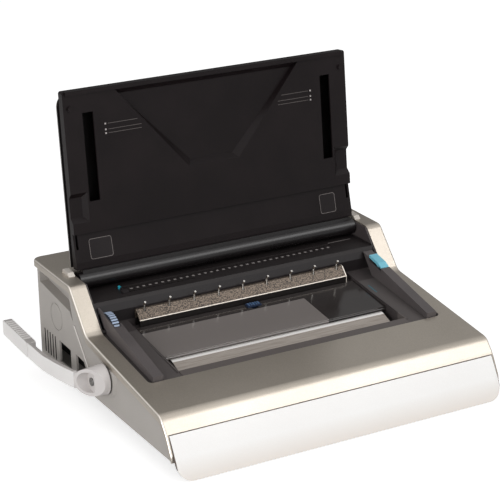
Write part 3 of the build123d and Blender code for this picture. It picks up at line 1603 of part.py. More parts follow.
with BuildPart() as hinge_caps:
    cap_outline = [
        (cap_front_y, on_deck(cap_front_y)),
        (cap_rear_y, on_deck(cap_rear_y)),
        (cap_rear_y - cap_height / 2, on_deck(cap_rear_y) + cap_height),
        (cap_front_y + cap_height, on_deck(cap_front_y) + cap_front_height),
    ]
    prism_pair(cap_outline, cap_inner_x, cap_outer_x)
save(hinge_caps, "hinge_caps")

# Edge guide: a small slide on the throat, with a fence that reaches into the slot
guide_rest_inset = 5.0
guide_rest_x = guide_slit_from + guide_rest_inset
guide_half = 4.0
guide_height = 2.8
guide_top_z = throat_top_z + guide_height
guide_front_y = 77.0
guide_slide_y = 84.0
fence_half = 1.0
fence_depth = 10.0
foot_wall = 2.0

with BuildPart() as edge_guide:
    block(
        guide_rest_x - guide_half, guide_rest_x + guide_half, guide_front_y, guide_slide_y,
        throat_top_z + seat_gap, guide_top_z,
    )
    block(
        guide_rest_x - fence_half, guide_rest_x + fence_half, guide_slide_y,
        slot_y + fence_half, throat_top_z + seat_gap, guide_top_z,
    )
    prism(
        leaned_box(slot_y, throat_top_z, punch_lean, -fence_half, fence_half, -fence_depth,
                   guide_top_z - throat_top_z - seat_gap),
        guide_rest_x - fence_half, guide_rest_x + fence_half,
    )
    block(
        guide_rest_x - guide_half, guide_rest_x + guide_half,
        guide_slit_y - guide_slit_width / 2 + slide_gap,
        guide_slit_y + guide_slit_width / 2 - slide_gap,
        throat_top_z - mould_wall - seat_gap - foot_wall, throat_top_z + 2 * seat_gap,
    )
    block(
        guide_rest_x - guide_half, guide_rest_x + guide_half, guide_front_y, guide_slide_y,
        throat_top_z - mould_wall - seat_gap - foot_wall, throat_top_z - mould_wall - seat_gap,
    )
save(edge_guide, "edge_guide")

# Punch: die plate and guide plate with the paper gap between them, pins, and the bar
hole_pitch = 8.467
hole_margin = 8.0
hole_count = 2 * int((slot_half - hole_margin) / hole_pitch)
hole_side = 4.0
hole_depth = -19.0
plate_half = bracket_inner_x - seat_gap
paper_gap = 2.6
plate_wall = 5.0
plate_top = -3.8
plate_low = -34.0
floor_high = -24.0
floor_low = -28.0
pin_side = 3.9
pin_tip = 1.8
bar_front = 22.0
bar_rear = 30.0
bar_reach = slot_half
bar_half_height = 9.0
bracket_wall = 3.0
bracket_outer_x = bracket_inner_x + bracket_wall
tongue_reach = bracket_outer_x - slide_gap
tongue_half_height = 4.0
punch_stroke = 10.0
motor_length = 54.0
cam_inset = 16.0
motor_inner_x = bracket_inner_x - motor_length
cam_x = motor_inner_x - cam_inset
cam_half = 4.0
cam_low_radius = 10.0
cam_high_radius = 20.0
cam_play = 0.6
nose_radius_small = 5.0
cam_axis_back = bar_rear + nose_radius_small + cam_play + cam_low_radius
cam_y, cam_z = leaned(slot_y, throat_top_z, punch_lean, cam_axis_back, hole_depth)


def punch_slab(x_from, x_to, back_from, back_to, up_from, up_to, mode=Mode.ADD):
    """Block in the leaning frame of the punch."""
    outline = leaned_box(
        slot_y, throat_top_z, punch_lean, back_from, back_to, up_from, up_to
    )
    prism(outline, x_from, x_to, mode)


def hole_row(side, back_from, back_to, mode):
    """Row of square pins or holes of one size, across the paper gap."""
    with BuildSketch(leaning_plane(slot_y, throat_top_z, punch_lean, back_to)) as row:
        with Locations((0, hole_depth)):
            with GridLocations(hole_pitch, hole_pitch, hole_count, 1):
                Rectangle(side, side)
    extrude(row.sketch, amount=back_to - back_from, mode=mode)


with BuildPart() as die_plate:
    punch_slab(
        -plate_half, plate_half, -paper_gap / 2 - plate_wall, -paper_gap / 2, plate_low, plate_top
    )
    hole_row(hole_side, -paper_gap - plate_wall, 0, Mode.SUBTRACT)
save(die_plate, "die_plate")

with BuildPart() as guide_plate:
    punch_slab(
        -plate_half, plate_half, paper_gap / 2, paper_gap / 2 + plate_wall, plate_low, plate_top
    )
    hole_row(hole_side, 0, paper_gap + plate_wall, Mode.SUBTRACT)
save(guide_plate, "guide_plate")

with BuildPart() as throat_floor:
    punch_slab(-plate_half, plate_half, -paper_gap / 2, paper_gap / 2, floor_low, floor_high)
    for side in (-1, 1):
        punch_slab(
            side * slot_half, side * plate_half, -paper_gap / 2, paper_gap / 2,
            floor_high, plate_top,
        )
save(throat_floor, "throat_floor")

with BuildPart() as punch_pins:
    hole_row(pin_side, pin_tip, bar_front, Mode.ADD)
save(punch_pins, "punch_pins")

with BuildPart() as punch_bar:
    punch_slab(
        -bar_reach, bar_reach, bar_front, bar_rear, hole_depth - bar_half_height,
        hole_depth + bar_half_height,
    )
    punch_slab(
        -tongue_reach, tongue_reach, bar_front, bar_rear, hole_depth - tongue_half_height,
        hole_depth + tongue_half_height,
    )
    nose_y, nose_z_small = leaned(slot_y, throat_top_z, punch_lean, bar_rear, hole_depth)
    for side in (-1, 1):
        rod(
            nose_y, nose_z_small, nose_radius_small, side * cam_x - cam_half,
            side * cam_x + cam_half,
        )
save(punch_bar, "punch_bar")

# Drive: camshaft with heart-shaped cams, two stages of gears and the motor
camshaft_radius = 6.0
gearbox_gap = 3.0
gearbox_wall = 3.0
idler_width = 6.0
cam_gear_gap = 2.0
cam_gear_width = 8.0
shaft_proud = 2.0
gearbox_inner_x = bracket_outer_x + gearbox_gap
gearbox_outer_x = gearbox_inner_x + gearbox_wall
idler_inner_x = gearbox_outer_x + gearbox_gap
idler_outer_x = idler_inner_x + idler_width
cam_gear_inner_x = idler_outer_x + cam_gear_gap
cam_gear_outer_x = cam_gear_inner_x + cam_gear_width
cam_module = 1.25
cam_teeth = 40
idler_small_teeth = 12
idler_large_teeth = 48
motor_teeth = 12
mesh_play = 0.15
idler_angle = -45.0
motor_angle = 190.0
idler_pin_radius = 4.0
motor_radius = 17.0
motor_shaft_radius = 2.5
cam_step = 15
small_distance = cam_module * (cam_teeth + idler_small_teeth) / 2 + mesh_play
large_distance = gear_module * (idler_large_teeth + motor_teeth) / 2 + mesh_play
idler_y = cam_y + small_distance * cos(radians(idler_angle))
idler_z = cam_z + small_distance * sin(radians(idler_angle))
motor_y = idler_y + large_distance * cos(radians(motor_angle))
motor_z = idler_z + large_distance * sin(radians(motor_angle))
cam_rest_angle = 180.0 - punch_lean

with BuildPart() as camshaft:
    rod(
        cam_y, cam_z, camshaft_radius, -bracket_outer_x - shaft_proud,
        cam_gear_outer_x + shaft_proud,
    )
    cam_outline = []
    for turned in range(-180, 180, cam_step):
        cam_radius = cam_low_radius + (cam_high_radius - cam_low_radius) * abs(turned) / 180
        angle = radians(cam_rest_angle + turned)
        cam_outline.append((cam_y + cam_radius * cos(angle), cam_z + cam_radius * sin(angle)))
    for side in (-1, 1):
        prism(cam_outline, side * cam_x - cam_half, side * cam_x + cam_half)
save(camshaft, "camshaft")

with BuildPart() as cam_gear:
    gear(
        cam_module, cam_teeth, cam_y, cam_z, cam_gear_inner_x, cam_gear_outer_x,
        idler_angle, camshaft_radius + shaft_gap,
    )
save(cam_gear, "cam_gear")

with BuildPart() as idler_gear:
    half_tooth = 180.0 / idler_small_teeth
    gear(
        cam_module, idler_small_teeth, idler_y, idler_z, idler_outer_x, cam_gear_outer_x,
        idler_angle + 180 + half_tooth, 0,
    )
    gear(
        gear_module, idler_large_teeth, idler_y, idler_z, idler_inner_x, idler_outer_x,
        motor_angle, 0,
    )
    rod(idler_y, idler_z, idler_pin_radius, gearbox_inner_x, idler_inner_x)
save(idler_gear, "idler_gear")

with BuildPart() as motor_pinion:
    gear(
        gear_module, motor_teeth, motor_y, motor_z, idler_inner_x, idler_outer_x,
        motor_angle + 180 + 180.0 / motor_teeth, motor_shaft_radius + shaft_gap,
    )
save(motor_pinion, "motor_pinion")

with BuildPart() as motor:
    rod(motor_y, motor_z, motor_radius, motor_inner_x, bracket_inner_x)
    rod(motor_y, motor_z, 2 * motor_shaft_radius, bracket_inner_x, gearbox_inner_x)
    rod(motor_y, motor_z, 2 * motor_shaft_radius, motor_inner_x - sheet_steel, motor_inner_x)
    rod(motor_y, motor_z, motor_shaft_radius, gearbox_inner_x, idler_outer_x)
save(motor, "motor")

bracket_front_y = 81.0
bracket_step_y = 86.0
bracket_step_z = 84.0
bracket_rear_y = 152.0
bracket_top_z = 116.0
bracket_foot_width = 12.0
bracket_foot_inset = 22.0
gearbox_front_y = 100.0
gearbox_front_z = 80.0
gearbox_rear_y = 178.0
gearbox_rear_z = 84.0
gearbox_top_y = 124.0
gearbox_foot_width = 10.0
gearbox_foot_depth = 8.0
bracket_outline = [
    (bracket_front_y, chassis_top_z),
    (bracket_front_y, bracket_step_z),
    (bracket_step_y, bracket_top_z),
    (bracket_rear_y, bracket_top_z),
    (bracket_rear_y, chassis_top_z),
]
gearbox_outline = [
    (gearbox_front_y, chassis_top_z),
    (gearbox_front_y, gearbox_front_z),
    (gearbox_top_y, bracket_top_z),
    (bracket_rear_y, bracket_top_z),
    (gearbox_rear_y, gearbox_rear_z),
    (gearbox_rear_y, chassis_top_z),
]

with BuildPart() as punch_brackets:
    prism_pair(bracket_outline, bracket_inner_x, bracket_outer_x)
    block_pair(
        bracket_inner_x - bracket_foot_width, bracket_inner_x,
        bracket_front_y + bracket_foot_inset, bracket_rear_y - bracket_foot_inset,
        chassis_top_z, chassis_top_z + sheet_steel,
    )
    punch_slab(
        -bracket_outer_x - cut_over, bracket_outer_x + cut_over,
        bar_front - punch_stroke - slide_gap, bar_rear + slide_gap,
        hole_depth - tongue_half_height - slide_gap / 2,
        hole_depth + tongue_half_height + slide_gap / 2, Mode.SUBTRACT,
    )
    rod(
        cam_y, cam_z, camshaft_radius + shaft_gap, -bracket_outer_x - cut_over,
        bracket_outer_x + cut_over, Mode.SUBTRACT,
    )
    rod(
        motor_y, motor_z, 2 * motor_shaft_radius + seat_gap, bracket_inner_x - cut_over,
        bracket_outer_x + cut_over, Mode.SUBTRACT,
    )
save(punch_brackets, "punch_brackets")

with BuildPart() as gearbox_plate:
    prism(gearbox_outline, gearbox_inner_x, gearbox_outer_x)
    block(
        gearbox_outer_x, gearbox_outer_x + gearbox_foot_width, gearbox_front_y,
        gearbox_front_y + gearbox_foot_depth, chassis_top_z, chassis_top_z + sheet_steel,
    )
    for centre, radius in (
        ((cam_y, cam_z), camshaft_radius),
        ((idler_y, idler_z), idler_pin_radius),
        ((motor_y, motor_z), motor_shaft_radius),
    ):
        rod(
            centre[0], centre[1], radius + shaft_gap, gearbox_inner_x - cut_over,
            gearbox_outer_x + cut_over, Mode.SUBTRACT,
        )
save(gearbox_plate, "gearbox_plate")

# Chute that drops the chips through the chassis into the tray
chute_wall = 1.5
chute_play = 1.0
chute_half = chip_hole_half - chute_play
chute_front_y = 66.0
chute_top_z = 110.0
chute_mouth_y = 82.5
chute_mouth_z = 90.0
chute_knee_z = 84.0
chute_rear_y = 94.0
chute_throat_z = 66.0

with BuildPart() as chip_chute:
    front_sheet = [(chute_front_y, chute_top_z), (chute_front_y, pan_top_z)]
    prism(sheet_outline(front_sheet, chute_wall), -chute_half, chute_half)
    rear_chute = [
        (chute_mouth_y, chute_mouth_z),
        (chute_mouth_y, chute_knee_z),
        (chute_rear_y, chute_throat_z),
        (chute_rear_y, pan_top_z),
    ]
    prism(sheet_outline(rear_chute, chute_wall), -chute_half, chute_half)
    chute_end = [(chute_front_y, pan_top_z), (chute_front_y, chute_top_z)] + rear_chute
    prism_pair(chute_end, chute_half - chute_wall, chute_half)
save(chip_chute, "chip_chute")

# Electrics: power unit, control board, mains inlet, switch housing and its rocker
power_inner_x = 14.0
power_cam_gap = 20.0
power_outer_x = cam_x - power_cam_gap
power_front_y = 150.0
power_rear_y = 184.0
power_top_z = 84.0
power_flange_height = 10.0
core_inset = 8.0
core_step = 2.0
board_inner_x = 5.0
board_outer_x = cam_x - board_inner_x
board_half = (board_outer_x - board_inner_x) / 2
board_x = (board_outer_x + board_inner_x) / 2
board_front_y = 148.0
board_rear_y = 182.0
board_part_height = 12.0
board_z = 54.0
board_wall = 1.6
inlet_depth = 22.0
inlet_wall = 2.0
inlet_socket_depth = 16.0
inlet_flange = 3.0
blade_pitch = 7.0
blade_rise = 2.0
blade_wall = 2.0
blade_height = 4.0
blade_inset = 3.0
flange_proud = 1.5
switch_depth = 16.0

with BuildPart() as transformer:
    block(
        -power_outer_x, -power_inner_x, power_front_y, power_rear_y, chassis_top_z,
        chassis_top_z + power_flange_height,
    )
    block(
        core_inset - power_outer_x, -power_inner_x - core_inset, power_front_y + core_step,
        power_rear_y - core_step, chassis_top_z, power_top_z,
    )
save(transformer, "transformer")

# Three parts on the board: place across and back, half size, and height, as shares of the
# board's half width, its depth, its half width and the tallest part
board_part_shares = [
    (-0.55, 0.41, 0.22, 0.33),
    (0.1, 0.59, 0.15, 1.0),
    (0.6, 0.35, 0.2, 0.75),
]

with BuildPart() as circuit_board:
    block(
        board_x - board_half, board_x + board_half, board_front_y, board_rear_y,
        board_z, board_z + board_wall,
    )
    for leg_x in (board_x - board_half + cut_over, board_x + board_half - cut_over):
        for leg_y in (board_front_y + cut_over, board_rear_y - cut_over):
            post(leg_x, leg_y, mould_wall, chassis_top_z, board_z)
    for across_share, back_share, size_share, height_share in board_part_shares:
        chip_x = board_x + across_share * board_half
        chip_y = board_front_y + back_share * (board_rear_y - board_front_y)
        chip_half = size_share * board_half
        block(
            chip_x - chip_half, chip_x + chip_half, chip_y - chip_half, chip_y + chip_half,
            board_z + board_wall, board_z + board_wall + height_share * board_part_height,
        )
save(circuit_board, "circuit_board")


def rear_box(x, half_width, half_height, y_from, y_to, mode=Mode.ADD):
    """Block of the rear fittings, centred on the height of the inlet."""
    block(
        x - half_width, x + half_width, y_from, y_to, inlet_z - half_height,
        inlet_z + half_height, mode,
    )


with BuildPart() as power_inlet:
    rear_box(
        inlet_x, inlet_width / 2, inlet_height / 2, panel_rear_y - inlet_depth, panel_rear_y
    )
    rear_box(
        inlet_x, inlet_width / 2 + inlet_flange, inlet_height / 2 + inlet_flange,
        panel_rear_y, panel_rear_y + flange_proud,
    )
    rear_box(
        inlet_x, inlet_width / 2 - inlet_wall, inlet_height / 2 - inlet_wall,
        panel_rear_y - inlet_socket_depth, panel_rear_y + cut_over, Mode.SUBTRACT,
    )
    for blade_side in (-1, 0, 1):
        blade_x = inlet_x + blade_side * blade_pitch
        blade_z = inlet_z - blade_rise if blade_side else inlet_z + blade_rise
        block(
            blade_x - blade_wall / 2, blade_x + blade_wall / 2,
            panel_rear_y - inlet_socket_depth, panel_rear_y - blade_inset,
            blade_z - blade_height / 2, blade_z + blade_height / 2,
        )
save(power_inlet, "power_inlet")

rocker_inset = 2.0
rocker_y = panel_rear_y - rocker_inset
rocker_pin_radius = 1.0
rocker_pin_half = 6.3

with BuildPart() as switch_housing:
    rear_box(
        switch_x, switch_width / 2, switch_height / 2, panel_rear_y - switch_depth, panel_rear_y
    )
    rear_box(
        switch_x, switch_width / 2 + inlet_wall, switch_height / 2 + inlet_wall,
        panel_rear_y, panel_rear_y + flange_proud,
    )
    rear_box(
        switch_x, switch_width / 2 - inlet_wall / 2, switch_height / 2 - inlet_wall / 2,
        panel_rear_y - switch_depth + inlet_wall, panel_rear_y + cut_over, Mode.SUBTRACT,
    )
    post(
        switch_x, rocker_y, rocker_pin_radius + shaft_gap, inlet_z - switch_height,
        inlet_z + switch_height, Mode.SUBTRACT,
    )
save(switch_housing, "switch_housing")

rocker_half = 6.4
rocker_low_reach = 3.1
rocker_middle_reach = 3.7
rocker_high_reach = 5.8
rocker_back = 4.5
rocker_height = switch_height - inlet_wall - 2 * slide_gap

with BuildPart() as power_rocker:
    with BuildSketch(Plane.XY.offset(inlet_z - rocker_height / 2)) as rocker:
        with BuildLine():
            Polyline(
                (switch_x - rocker_half, rocker_y + rocker_low_reach),
                (switch_x, rocker_y + rocker_middle_reach),
                (switch_x + rocker_half, rocker_y + rocker_high_reach),
                (switch_x + rocker_half, rocker_y),
                (switch_x, rocker_y - rocker_back),
                (switch_x - rocker_half, rocker_y),
                close=True,
            )
        make_face()
    extrude(rocker.sketch, amount=rocker_height)
    post(
        switch_x, rocker_y, rocker_pin_radius, inlet_z - rocker_pin_half,
        inlet_z + rocker_pin_half,
    )
save(power_rocker, "power_rocker")
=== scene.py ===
import math

import bpy
from mathutils import Matrix, Vector


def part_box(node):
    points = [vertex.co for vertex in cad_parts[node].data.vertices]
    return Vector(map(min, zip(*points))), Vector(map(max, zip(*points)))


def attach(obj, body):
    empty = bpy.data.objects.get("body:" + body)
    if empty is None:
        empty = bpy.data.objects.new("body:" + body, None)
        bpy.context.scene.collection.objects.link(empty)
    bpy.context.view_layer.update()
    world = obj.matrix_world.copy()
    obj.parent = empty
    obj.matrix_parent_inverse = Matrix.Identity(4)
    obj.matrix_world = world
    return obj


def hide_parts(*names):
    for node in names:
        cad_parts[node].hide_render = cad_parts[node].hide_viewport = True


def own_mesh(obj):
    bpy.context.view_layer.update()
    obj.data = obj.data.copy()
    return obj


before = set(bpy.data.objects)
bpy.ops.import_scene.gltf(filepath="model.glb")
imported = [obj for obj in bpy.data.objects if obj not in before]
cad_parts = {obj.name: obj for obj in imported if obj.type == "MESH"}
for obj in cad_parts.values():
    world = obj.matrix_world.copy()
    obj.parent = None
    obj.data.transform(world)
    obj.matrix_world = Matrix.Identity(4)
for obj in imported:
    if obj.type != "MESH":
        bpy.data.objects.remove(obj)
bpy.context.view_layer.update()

# Room
# The machine stands on a white seamless studio sweep. The camera looks from the front left,
# a little above the deck, with a long lens. Its lens and place are solved from the photo.
MM = 0.001
photo_pixels = 500
lens_pixels = 1816.1
sensor_width = 36.0
sight_end = 50
camera_place = Vector((-1000.4, -1785.4, 909.4)) * MM
camera_azimuth = math.radians(-28.8)
camera_elevation = math.radians(19.8)
camera_roll = math.radians(-1.0)

back_axis = Vector((
    math.sin(camera_azimuth) * math.cos(camera_elevation),
    -math.cos(camera_azimuth) * math.cos(camera_elevation),
    math.sin(camera_elevation),
))
level_right = Vector((0, 0, 1)).cross(back_axis).normalized()
level_up = back_axis.cross(level_right)
right_axis = math.cos(camera_roll) * level_right + math.sin(camera_roll) * level_up
up_axis = math.cos(camera_roll) * level_up - math.sin(camera_roll) * level_right

camera_data = bpy.data.cameras.new("studio_camera")
camera_data.sensor_width = sensor_width
camera_data.lens = sensor_width * lens_pixels / photo_pixels
camera_data.clip_end = sight_end
camera = bpy.data.objects.new("studio_camera", camera_data)
camera_turn = Matrix((right_axis, up_axis, back_axis)).transposed().to_4x4()
camera.matrix_world = Matrix.Translation(camera_place) @ camera_turn
bpy.context.scene.collection.objects.link(camera)
bpy.context.scene.camera = camera
bpy.context.scene.view_settings.view_transform = "Standard"


def hex_colour(text):
    """Linear colour of an sRGB hex value."""
    parts = [int(text[start:start + 2], 16) / 255 for start in (0, 2, 4)]
    linear = [p / 12.92 if p <= 0.04045 else ((p + 0.055) / 1.055) ** 2.4 for p in parts]
    return (*linear, 1.0)


def add_node(tree, kind, sockets=None, links=None, **options):
    """Add a node, set its options and sockets, and link sources to its sockets."""
    node = tree.nodes.new(kind)
    for option, value in options.items():
        setattr(node, option, value)
    for key, value in (sockets or {}).items():
        node.inputs[key].default_value = value
    for key, source in (links or {}).items():
        tree.links.new(source, node.inputs[key])
    return node


def clean_material(name):
    """Empty material and its node tree."""
    material = bpy.data.materials.new(name)
    material.use_nodes = True
    material.node_tree.nodes.clear()
    return material, material.node_tree


white_light = hex_colour("ffffff")
paper_glow = 0.58


def studio_paper():
    """White paper sweep: a faint glow for the camera keeps it white outside the soft shadow."""
    material, tree = clean_material("white_paper_sweep")
    ray = add_node(tree, "ShaderNodeLightPath")
    paper = add_node(tree, "ShaderNodeBsdfDiffuse", {"Color": hex_colour("f4f4f4")})
    lift = add_node(
        tree, "ShaderNodeMath", {1: paper_glow}, {0: ray.outputs["Is Camera Ray"]},
        operation="MULTIPLY",
    )
    glow = add_node(
        tree, "ShaderNodeEmission", {"Color": white_light}, {"Strength": lift.outputs[0]}
    )
    both = add_node(
        tree, "ShaderNodeAddShader", None, {0: paper.outputs["BSDF"], 1: glow.outputs[0]}
    )
    add_node(tree, "ShaderNodeOutputMaterial", None, {"Surface": both.outputs[0]})
    return material


floor_half = 6.0
bpy.ops.object.select_all(action="DESELECT")
bpy.ops.mesh.primitive_plane_add(size=2 * floor_half, location=(0, 0, 0))
floor = bpy.context.object
floor.name = "studio_floor"
floor.data.materials.append(studio_paper())


def softbox(name, place, target, width, height, watts):
    """Rectangular studio lamp that faces a point on the machine, with its sizes in metres."""
    data = bpy.data.lights.new(name, "AREA")
    data.shape = "RECTANGLE"
    data.size = width
    data.size_y = height
    data.energy = watts
    lamp = bpy.data.objects.new(name, data)
    aim = Vector(target) - Vector(place)
    lamp.rotation_euler = aim.to_track_quat("-Z", "Y").to_euler()
    lamp.location = place
    bpy.context.scene.collection.objects.link(lamp)


front_slope = (0, -0.1, 0.1)
softbox("key_softbox", (1.2, -1.7, 1.85), front_slope, width=1.8, height=1.2, watts=20)
softbox("front_softbox", (-0.6, -2.6, 0.9), front_slope, width=2.2, height=1.2, watts=7)
softbox("left_softbox", (-2.6, -1.2, 0.9), (0, -0.05, 0.1), width=1.4, height=1.2, watts=34)
softbox("top_softbox", (0, -0.2, 2.8), (0, 0, 0.1), width=2.4, height=1.6, watts=4)

# The room is even for diffuse light. In reflections it is dark low behind the machine, as a
# studio with a black flag there, and bright above and in front.
even_light = 0.42
flag_back = -0.5
flag_right = -0.3
flag_from = -0.25
flag_to = 0.9
flag_light = 0.1
open_light = 1.0

world = bpy.data.worlds.new("studio_room")
bpy.context.scene.world = world
world.use_nodes = True
room = world.node_tree
room.nodes.clear()
ray = add_node(room, "ShaderNodeLightPath")
direction = add_node(room, "ShaderNodeTexCoord")
axes = add_node(room, "ShaderNodeSeparateXYZ", None, {0: direction.outputs["Generated"]})
height_and_back = add_node(
    room, "ShaderNodeMath", {1: flag_back}, {0: axes.outputs["Y"], 2: axes.outputs["Z"]},
    operation="MULTIPLY_ADD",
)
past_flag = add_node(
    room, "ShaderNodeMath", {1: flag_right},
    {0: axes.outputs["X"], 2: height_and_back.outputs[0]}, operation="MULTIPLY_ADD",
)
flag = add_node(
    room, "ShaderNodeMapRange",
    {"From Min": flag_from, "From Max": flag_to, "To Min": flag_light, "To Max": open_light},
    {"Value": past_flag.outputs[0]},
)
straight = add_node(
    room, "ShaderNodeMath", None,
    {0: ray.outputs["Is Camera Ray"], 1: ray.outputs["Is Transmission Ray"]},
    operation="MAXIMUM",
)
even = add_node(room, "ShaderNodeBackground", {"Color": white_light, "Strength": even_light})
mirrored = add_node(
    room, "ShaderNodeBackground", {"Color": white_light}, {"Strength": flag.outputs["Result"]}
)
white = add_node(room, "ShaderNodeBackground", {"Color": white_light, "Strength": open_light})
lit = add_node(
    room, "ShaderNodeMixShader", None,
    {"Fac": ray.outputs["Is Glossy Ray"], 1: even.outputs[0], 2: mirrored.outputs[0]},
)
seen = add_node(
    room, "ShaderNodeMixShader", None,
    {"Fac": straight.outputs[0], 1: lit.outputs[0], 2: white.outputs[0]},
)
add_node(room, "ShaderNodeOutputWorld", None, {"Surface": seen.outputs[0]})

# Base pan, trays and feet
# Black ABS mouldings that carry the works and catch the chips, dull from the coarse texture
# of their moulds. The four feet are pressed from rubber and duller still.
noise_low = 0.35
noise_high = 0.65


def painted(tree, colour, fields, lean=None):
    """Paint fields over a colour and return the new colour.

    A field is a colour, limits in mm by axis, and pitches in mm along the axes on which it
    repeats. Lean is the place and the angle of the axes that the limits follow.
    """
    if not fields:
        return colour
    place = add_node(tree, "ShaderNodeTexCoord").outputs["Object"]
    if lean:
        leaned = add_node(
            tree, "ShaderNodeMapping",
            {"Location": lean[0], "Rotation": (-math.radians(lean[1]), 0, 0)},
            {"Vector": place}, vector_type="TEXTURE",
        )
        place = leaned.outputs["Vector"]
    axes = add_node(tree, "ShaderNodeSeparateXYZ", None, {0: place})
    for field_colour, limits, pitches in fields:
        tests = [(axes.outputs[axis], span) for axis, span in limits.items()]
        for axis, (pitch, width) in pitches.items():
            wrapped = add_node(
                tree, "ShaderNodeMath", {1: pitch / 2 * MM, 2: -pitch / 2 * MM},
                {0: axes.outputs[axis]}, operation="WRAP",
            )
            tests.append((wrapped.outputs[0], (-width / 2, width / 2)))
        mask = None
        for value, (low, high) in tests:
            inside = add_node(
                tree, "ShaderNodeMath", {1: (low + high) / 2 * MM, 2: (high - low) / 2 * MM},
                {0: value}, operation="COMPARE",
            )
            if mask:
                inside = add_node(
                    tree, "ShaderNodeMath", None, {0: mask, 1: inside.outputs[0]},
                    operation="MULTIPLY",
                )
            mask = inside.outputs[0]
        mixed = add_node(
            tree, "ShaderNodeMix", {7: hex_colour(field_colour)}, {0: mask, 6: colour},
            data_type="RGBA",
        )
        colour = mixed.outputs[2]
    return colour


def two_tone(tree, pattern, face, deep, low=0.4, high=0.6):
    """Colour that goes from deep to face as a pattern goes from low to high."""
    tone = add_node(tree, "ShaderNodeValToRGB", None, {"Fac": pattern})
    tone.color_ramp.elements[0].position = low
    tone.color_ramp.elements[0].color = hex_colour(deep)
    tone.color_ramp.elements[1].position = high
    tone.color_ramp.elements[1].color = hex_colour(face)
    return tone.outputs["Color"]


def moulding(
    name, face, deep, rough, grain_mm=0.8, relief_mm=0.05, specular=0.5, coat=0.0, fields=(),
    lean=None,
):
    """Moulded plastic: the spark-eroded grain of its mould softens the shine.

    The grain is drawn coarser than life, so that it still shows. Wide clouds vary the gloss.
    """
    cloud_mm = 60
    grain_share = 0.4
    gloss_swing = 0.1
    material, tree = clean_material(name)
    place = add_node(tree, "ShaderNodeTexCoord")
    texture = add_node(
        tree, "ShaderNodeTexNoise", {"Scale": 1 / (grain_mm * MM), "Detail": 3.0},
        {"Vector": place.outputs["Object"]},
    )
    cloud = add_node(
        tree, "ShaderNodeTexNoise", {"Scale": 1 / (cloud_mm * MM), "Detail": 2.0},
        {"Vector": place.outputs["Object"]},
    )
    blend = add_node(
        tree, "ShaderNodeMix", {0: grain_share},
        {2: cloud.outputs["Fac"], 3: texture.outputs["Fac"]}, data_type="FLOAT",
    )
    colour = painted(tree, two_tone(tree, blend.outputs[0], face, deep), fields, lean)
    gloss = add_node(
        tree, "ShaderNodeMapRange",
        {
            "From Min": noise_low, "From Max": noise_high,
            "To Min": rough * (1 - gloss_swing), "To Max": rough * (1 + gloss_swing),
        },
        {"Value": cloud.outputs["Fac"]},
    )
    bump = add_node(
        tree, "ShaderNodeBump", {"Strength": 0.4, "Distance": relief_mm * MM},
        {"Height": texture.outputs["Fac"]},
    )
    surface = add_node(
        tree, "ShaderNodeBsdfPrincipled",
        {"Specular IOR Level": specular, "Coat Weight": coat, "Coat Roughness": 0.08},
        {
            "Base Color": colour, "Roughness": gloss.outputs["Result"],
            "Normal": bump.outputs["Normal"],
        },
    )
    add_node(tree, "ShaderNodeOutputMaterial", None, {"Surface": surface.outputs["BSDF"]})
    return material


def dress(node, material):
    """Give a carried-over piece its finish."""
    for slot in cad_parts[node].material_slots:
        slot.material = material


base_plastic = moulding(
    "black_base_moulding", "1e1d1c", "171615", 0.6, grain_mm=1.0, relief_mm=0.08
)
for tray in ("base_pan", "chip_drawer_tray", "storage_tray", "chip_chute"):
    dress(tray, base_plastic)
foot_rubber = moulding("black_foot_rubber", "161616", "101010", 0.85, grain_mm=1.0, relief_mm=0.1)
dress("rubber_feet", foot_rubber)

# Steel sheet and tools
# The chassis and the frames are folded zinc-plated sheet and stand in the base pan. The bars,
# pins and shafts of the punch and the closer are ground steel. Fine lines along them stretch
# the light into a soft band.


def drawn_steel(name, face, deep, rough, line_mm=1.0, metal=1.0, spread=0.02, fields=()):
    """Drawn or ground metal; its lines run along X.

    They are drawn coarser than life, so that they still show. A spread of 1 leaves a speckle.
    """
    satin_swing = 0.2
    material, tree = clean_material(name)
    place = add_node(tree, "ShaderNodeTexCoord")
    along = add_node(
        tree, "ShaderNodeMapping", {"Scale": (spread, 1.0, 1.0)},
        {"Vector": place.outputs["Object"]},
    )
    lines = add_node(
        tree, "ShaderNodeTexNoise", {"Scale": 1 / (line_mm * MM), "Detail": 3.0},
        {"Vector": along.outputs["Vector"]},
    )
    colour = painted(tree, two_tone(tree, lines.outputs["Fac"], face, deep), fields)
    satin = add_node(
        tree, "ShaderNodeMapRange",
        {
            "From Min": noise_low, "From Max": noise_high,
            "To Min": rough * (1 - satin_swing), "To Max": rough * (1 + satin_swing),
        },
        {"Value": lines.outputs["Fac"]},
    )
    surface = add_node(
        tree, "ShaderNodeBsdfPrincipled", {"Metallic": metal},
        {"Base Color": colour, "Roughness": satin.outputs["Result"]},
    )
    add_node(tree, "ShaderNodeOutputMaterial", None, {"Surface": surface.outputs["BSDF"]})
    return material


plated_steel = drawn_steel("zinc_plated_sheet", "a8a6a2", "96948f", 0.38, line_mm=1.2)
for sheet in (
    "chassis_plate", "left_frame", "right_frame", "punch_brackets", "gearbox_plate", "motor",
):
    dress(sheet, plated_steel)
tool_steel = drawn_steel("ground_tool_steel", "8f8f8e", "80807f", 0.3, line_mm=0.6)
for tool in (
    "die_plate", "guide_plate", "throat_floor", "punch_bar", "punch_pins", "camshaft",
    "lever_shaft", "lever_pinions", "jaw_racks", "hinge_pins", "housing_screws", "lever_screw",
):
    dress(tool, tool_steel)

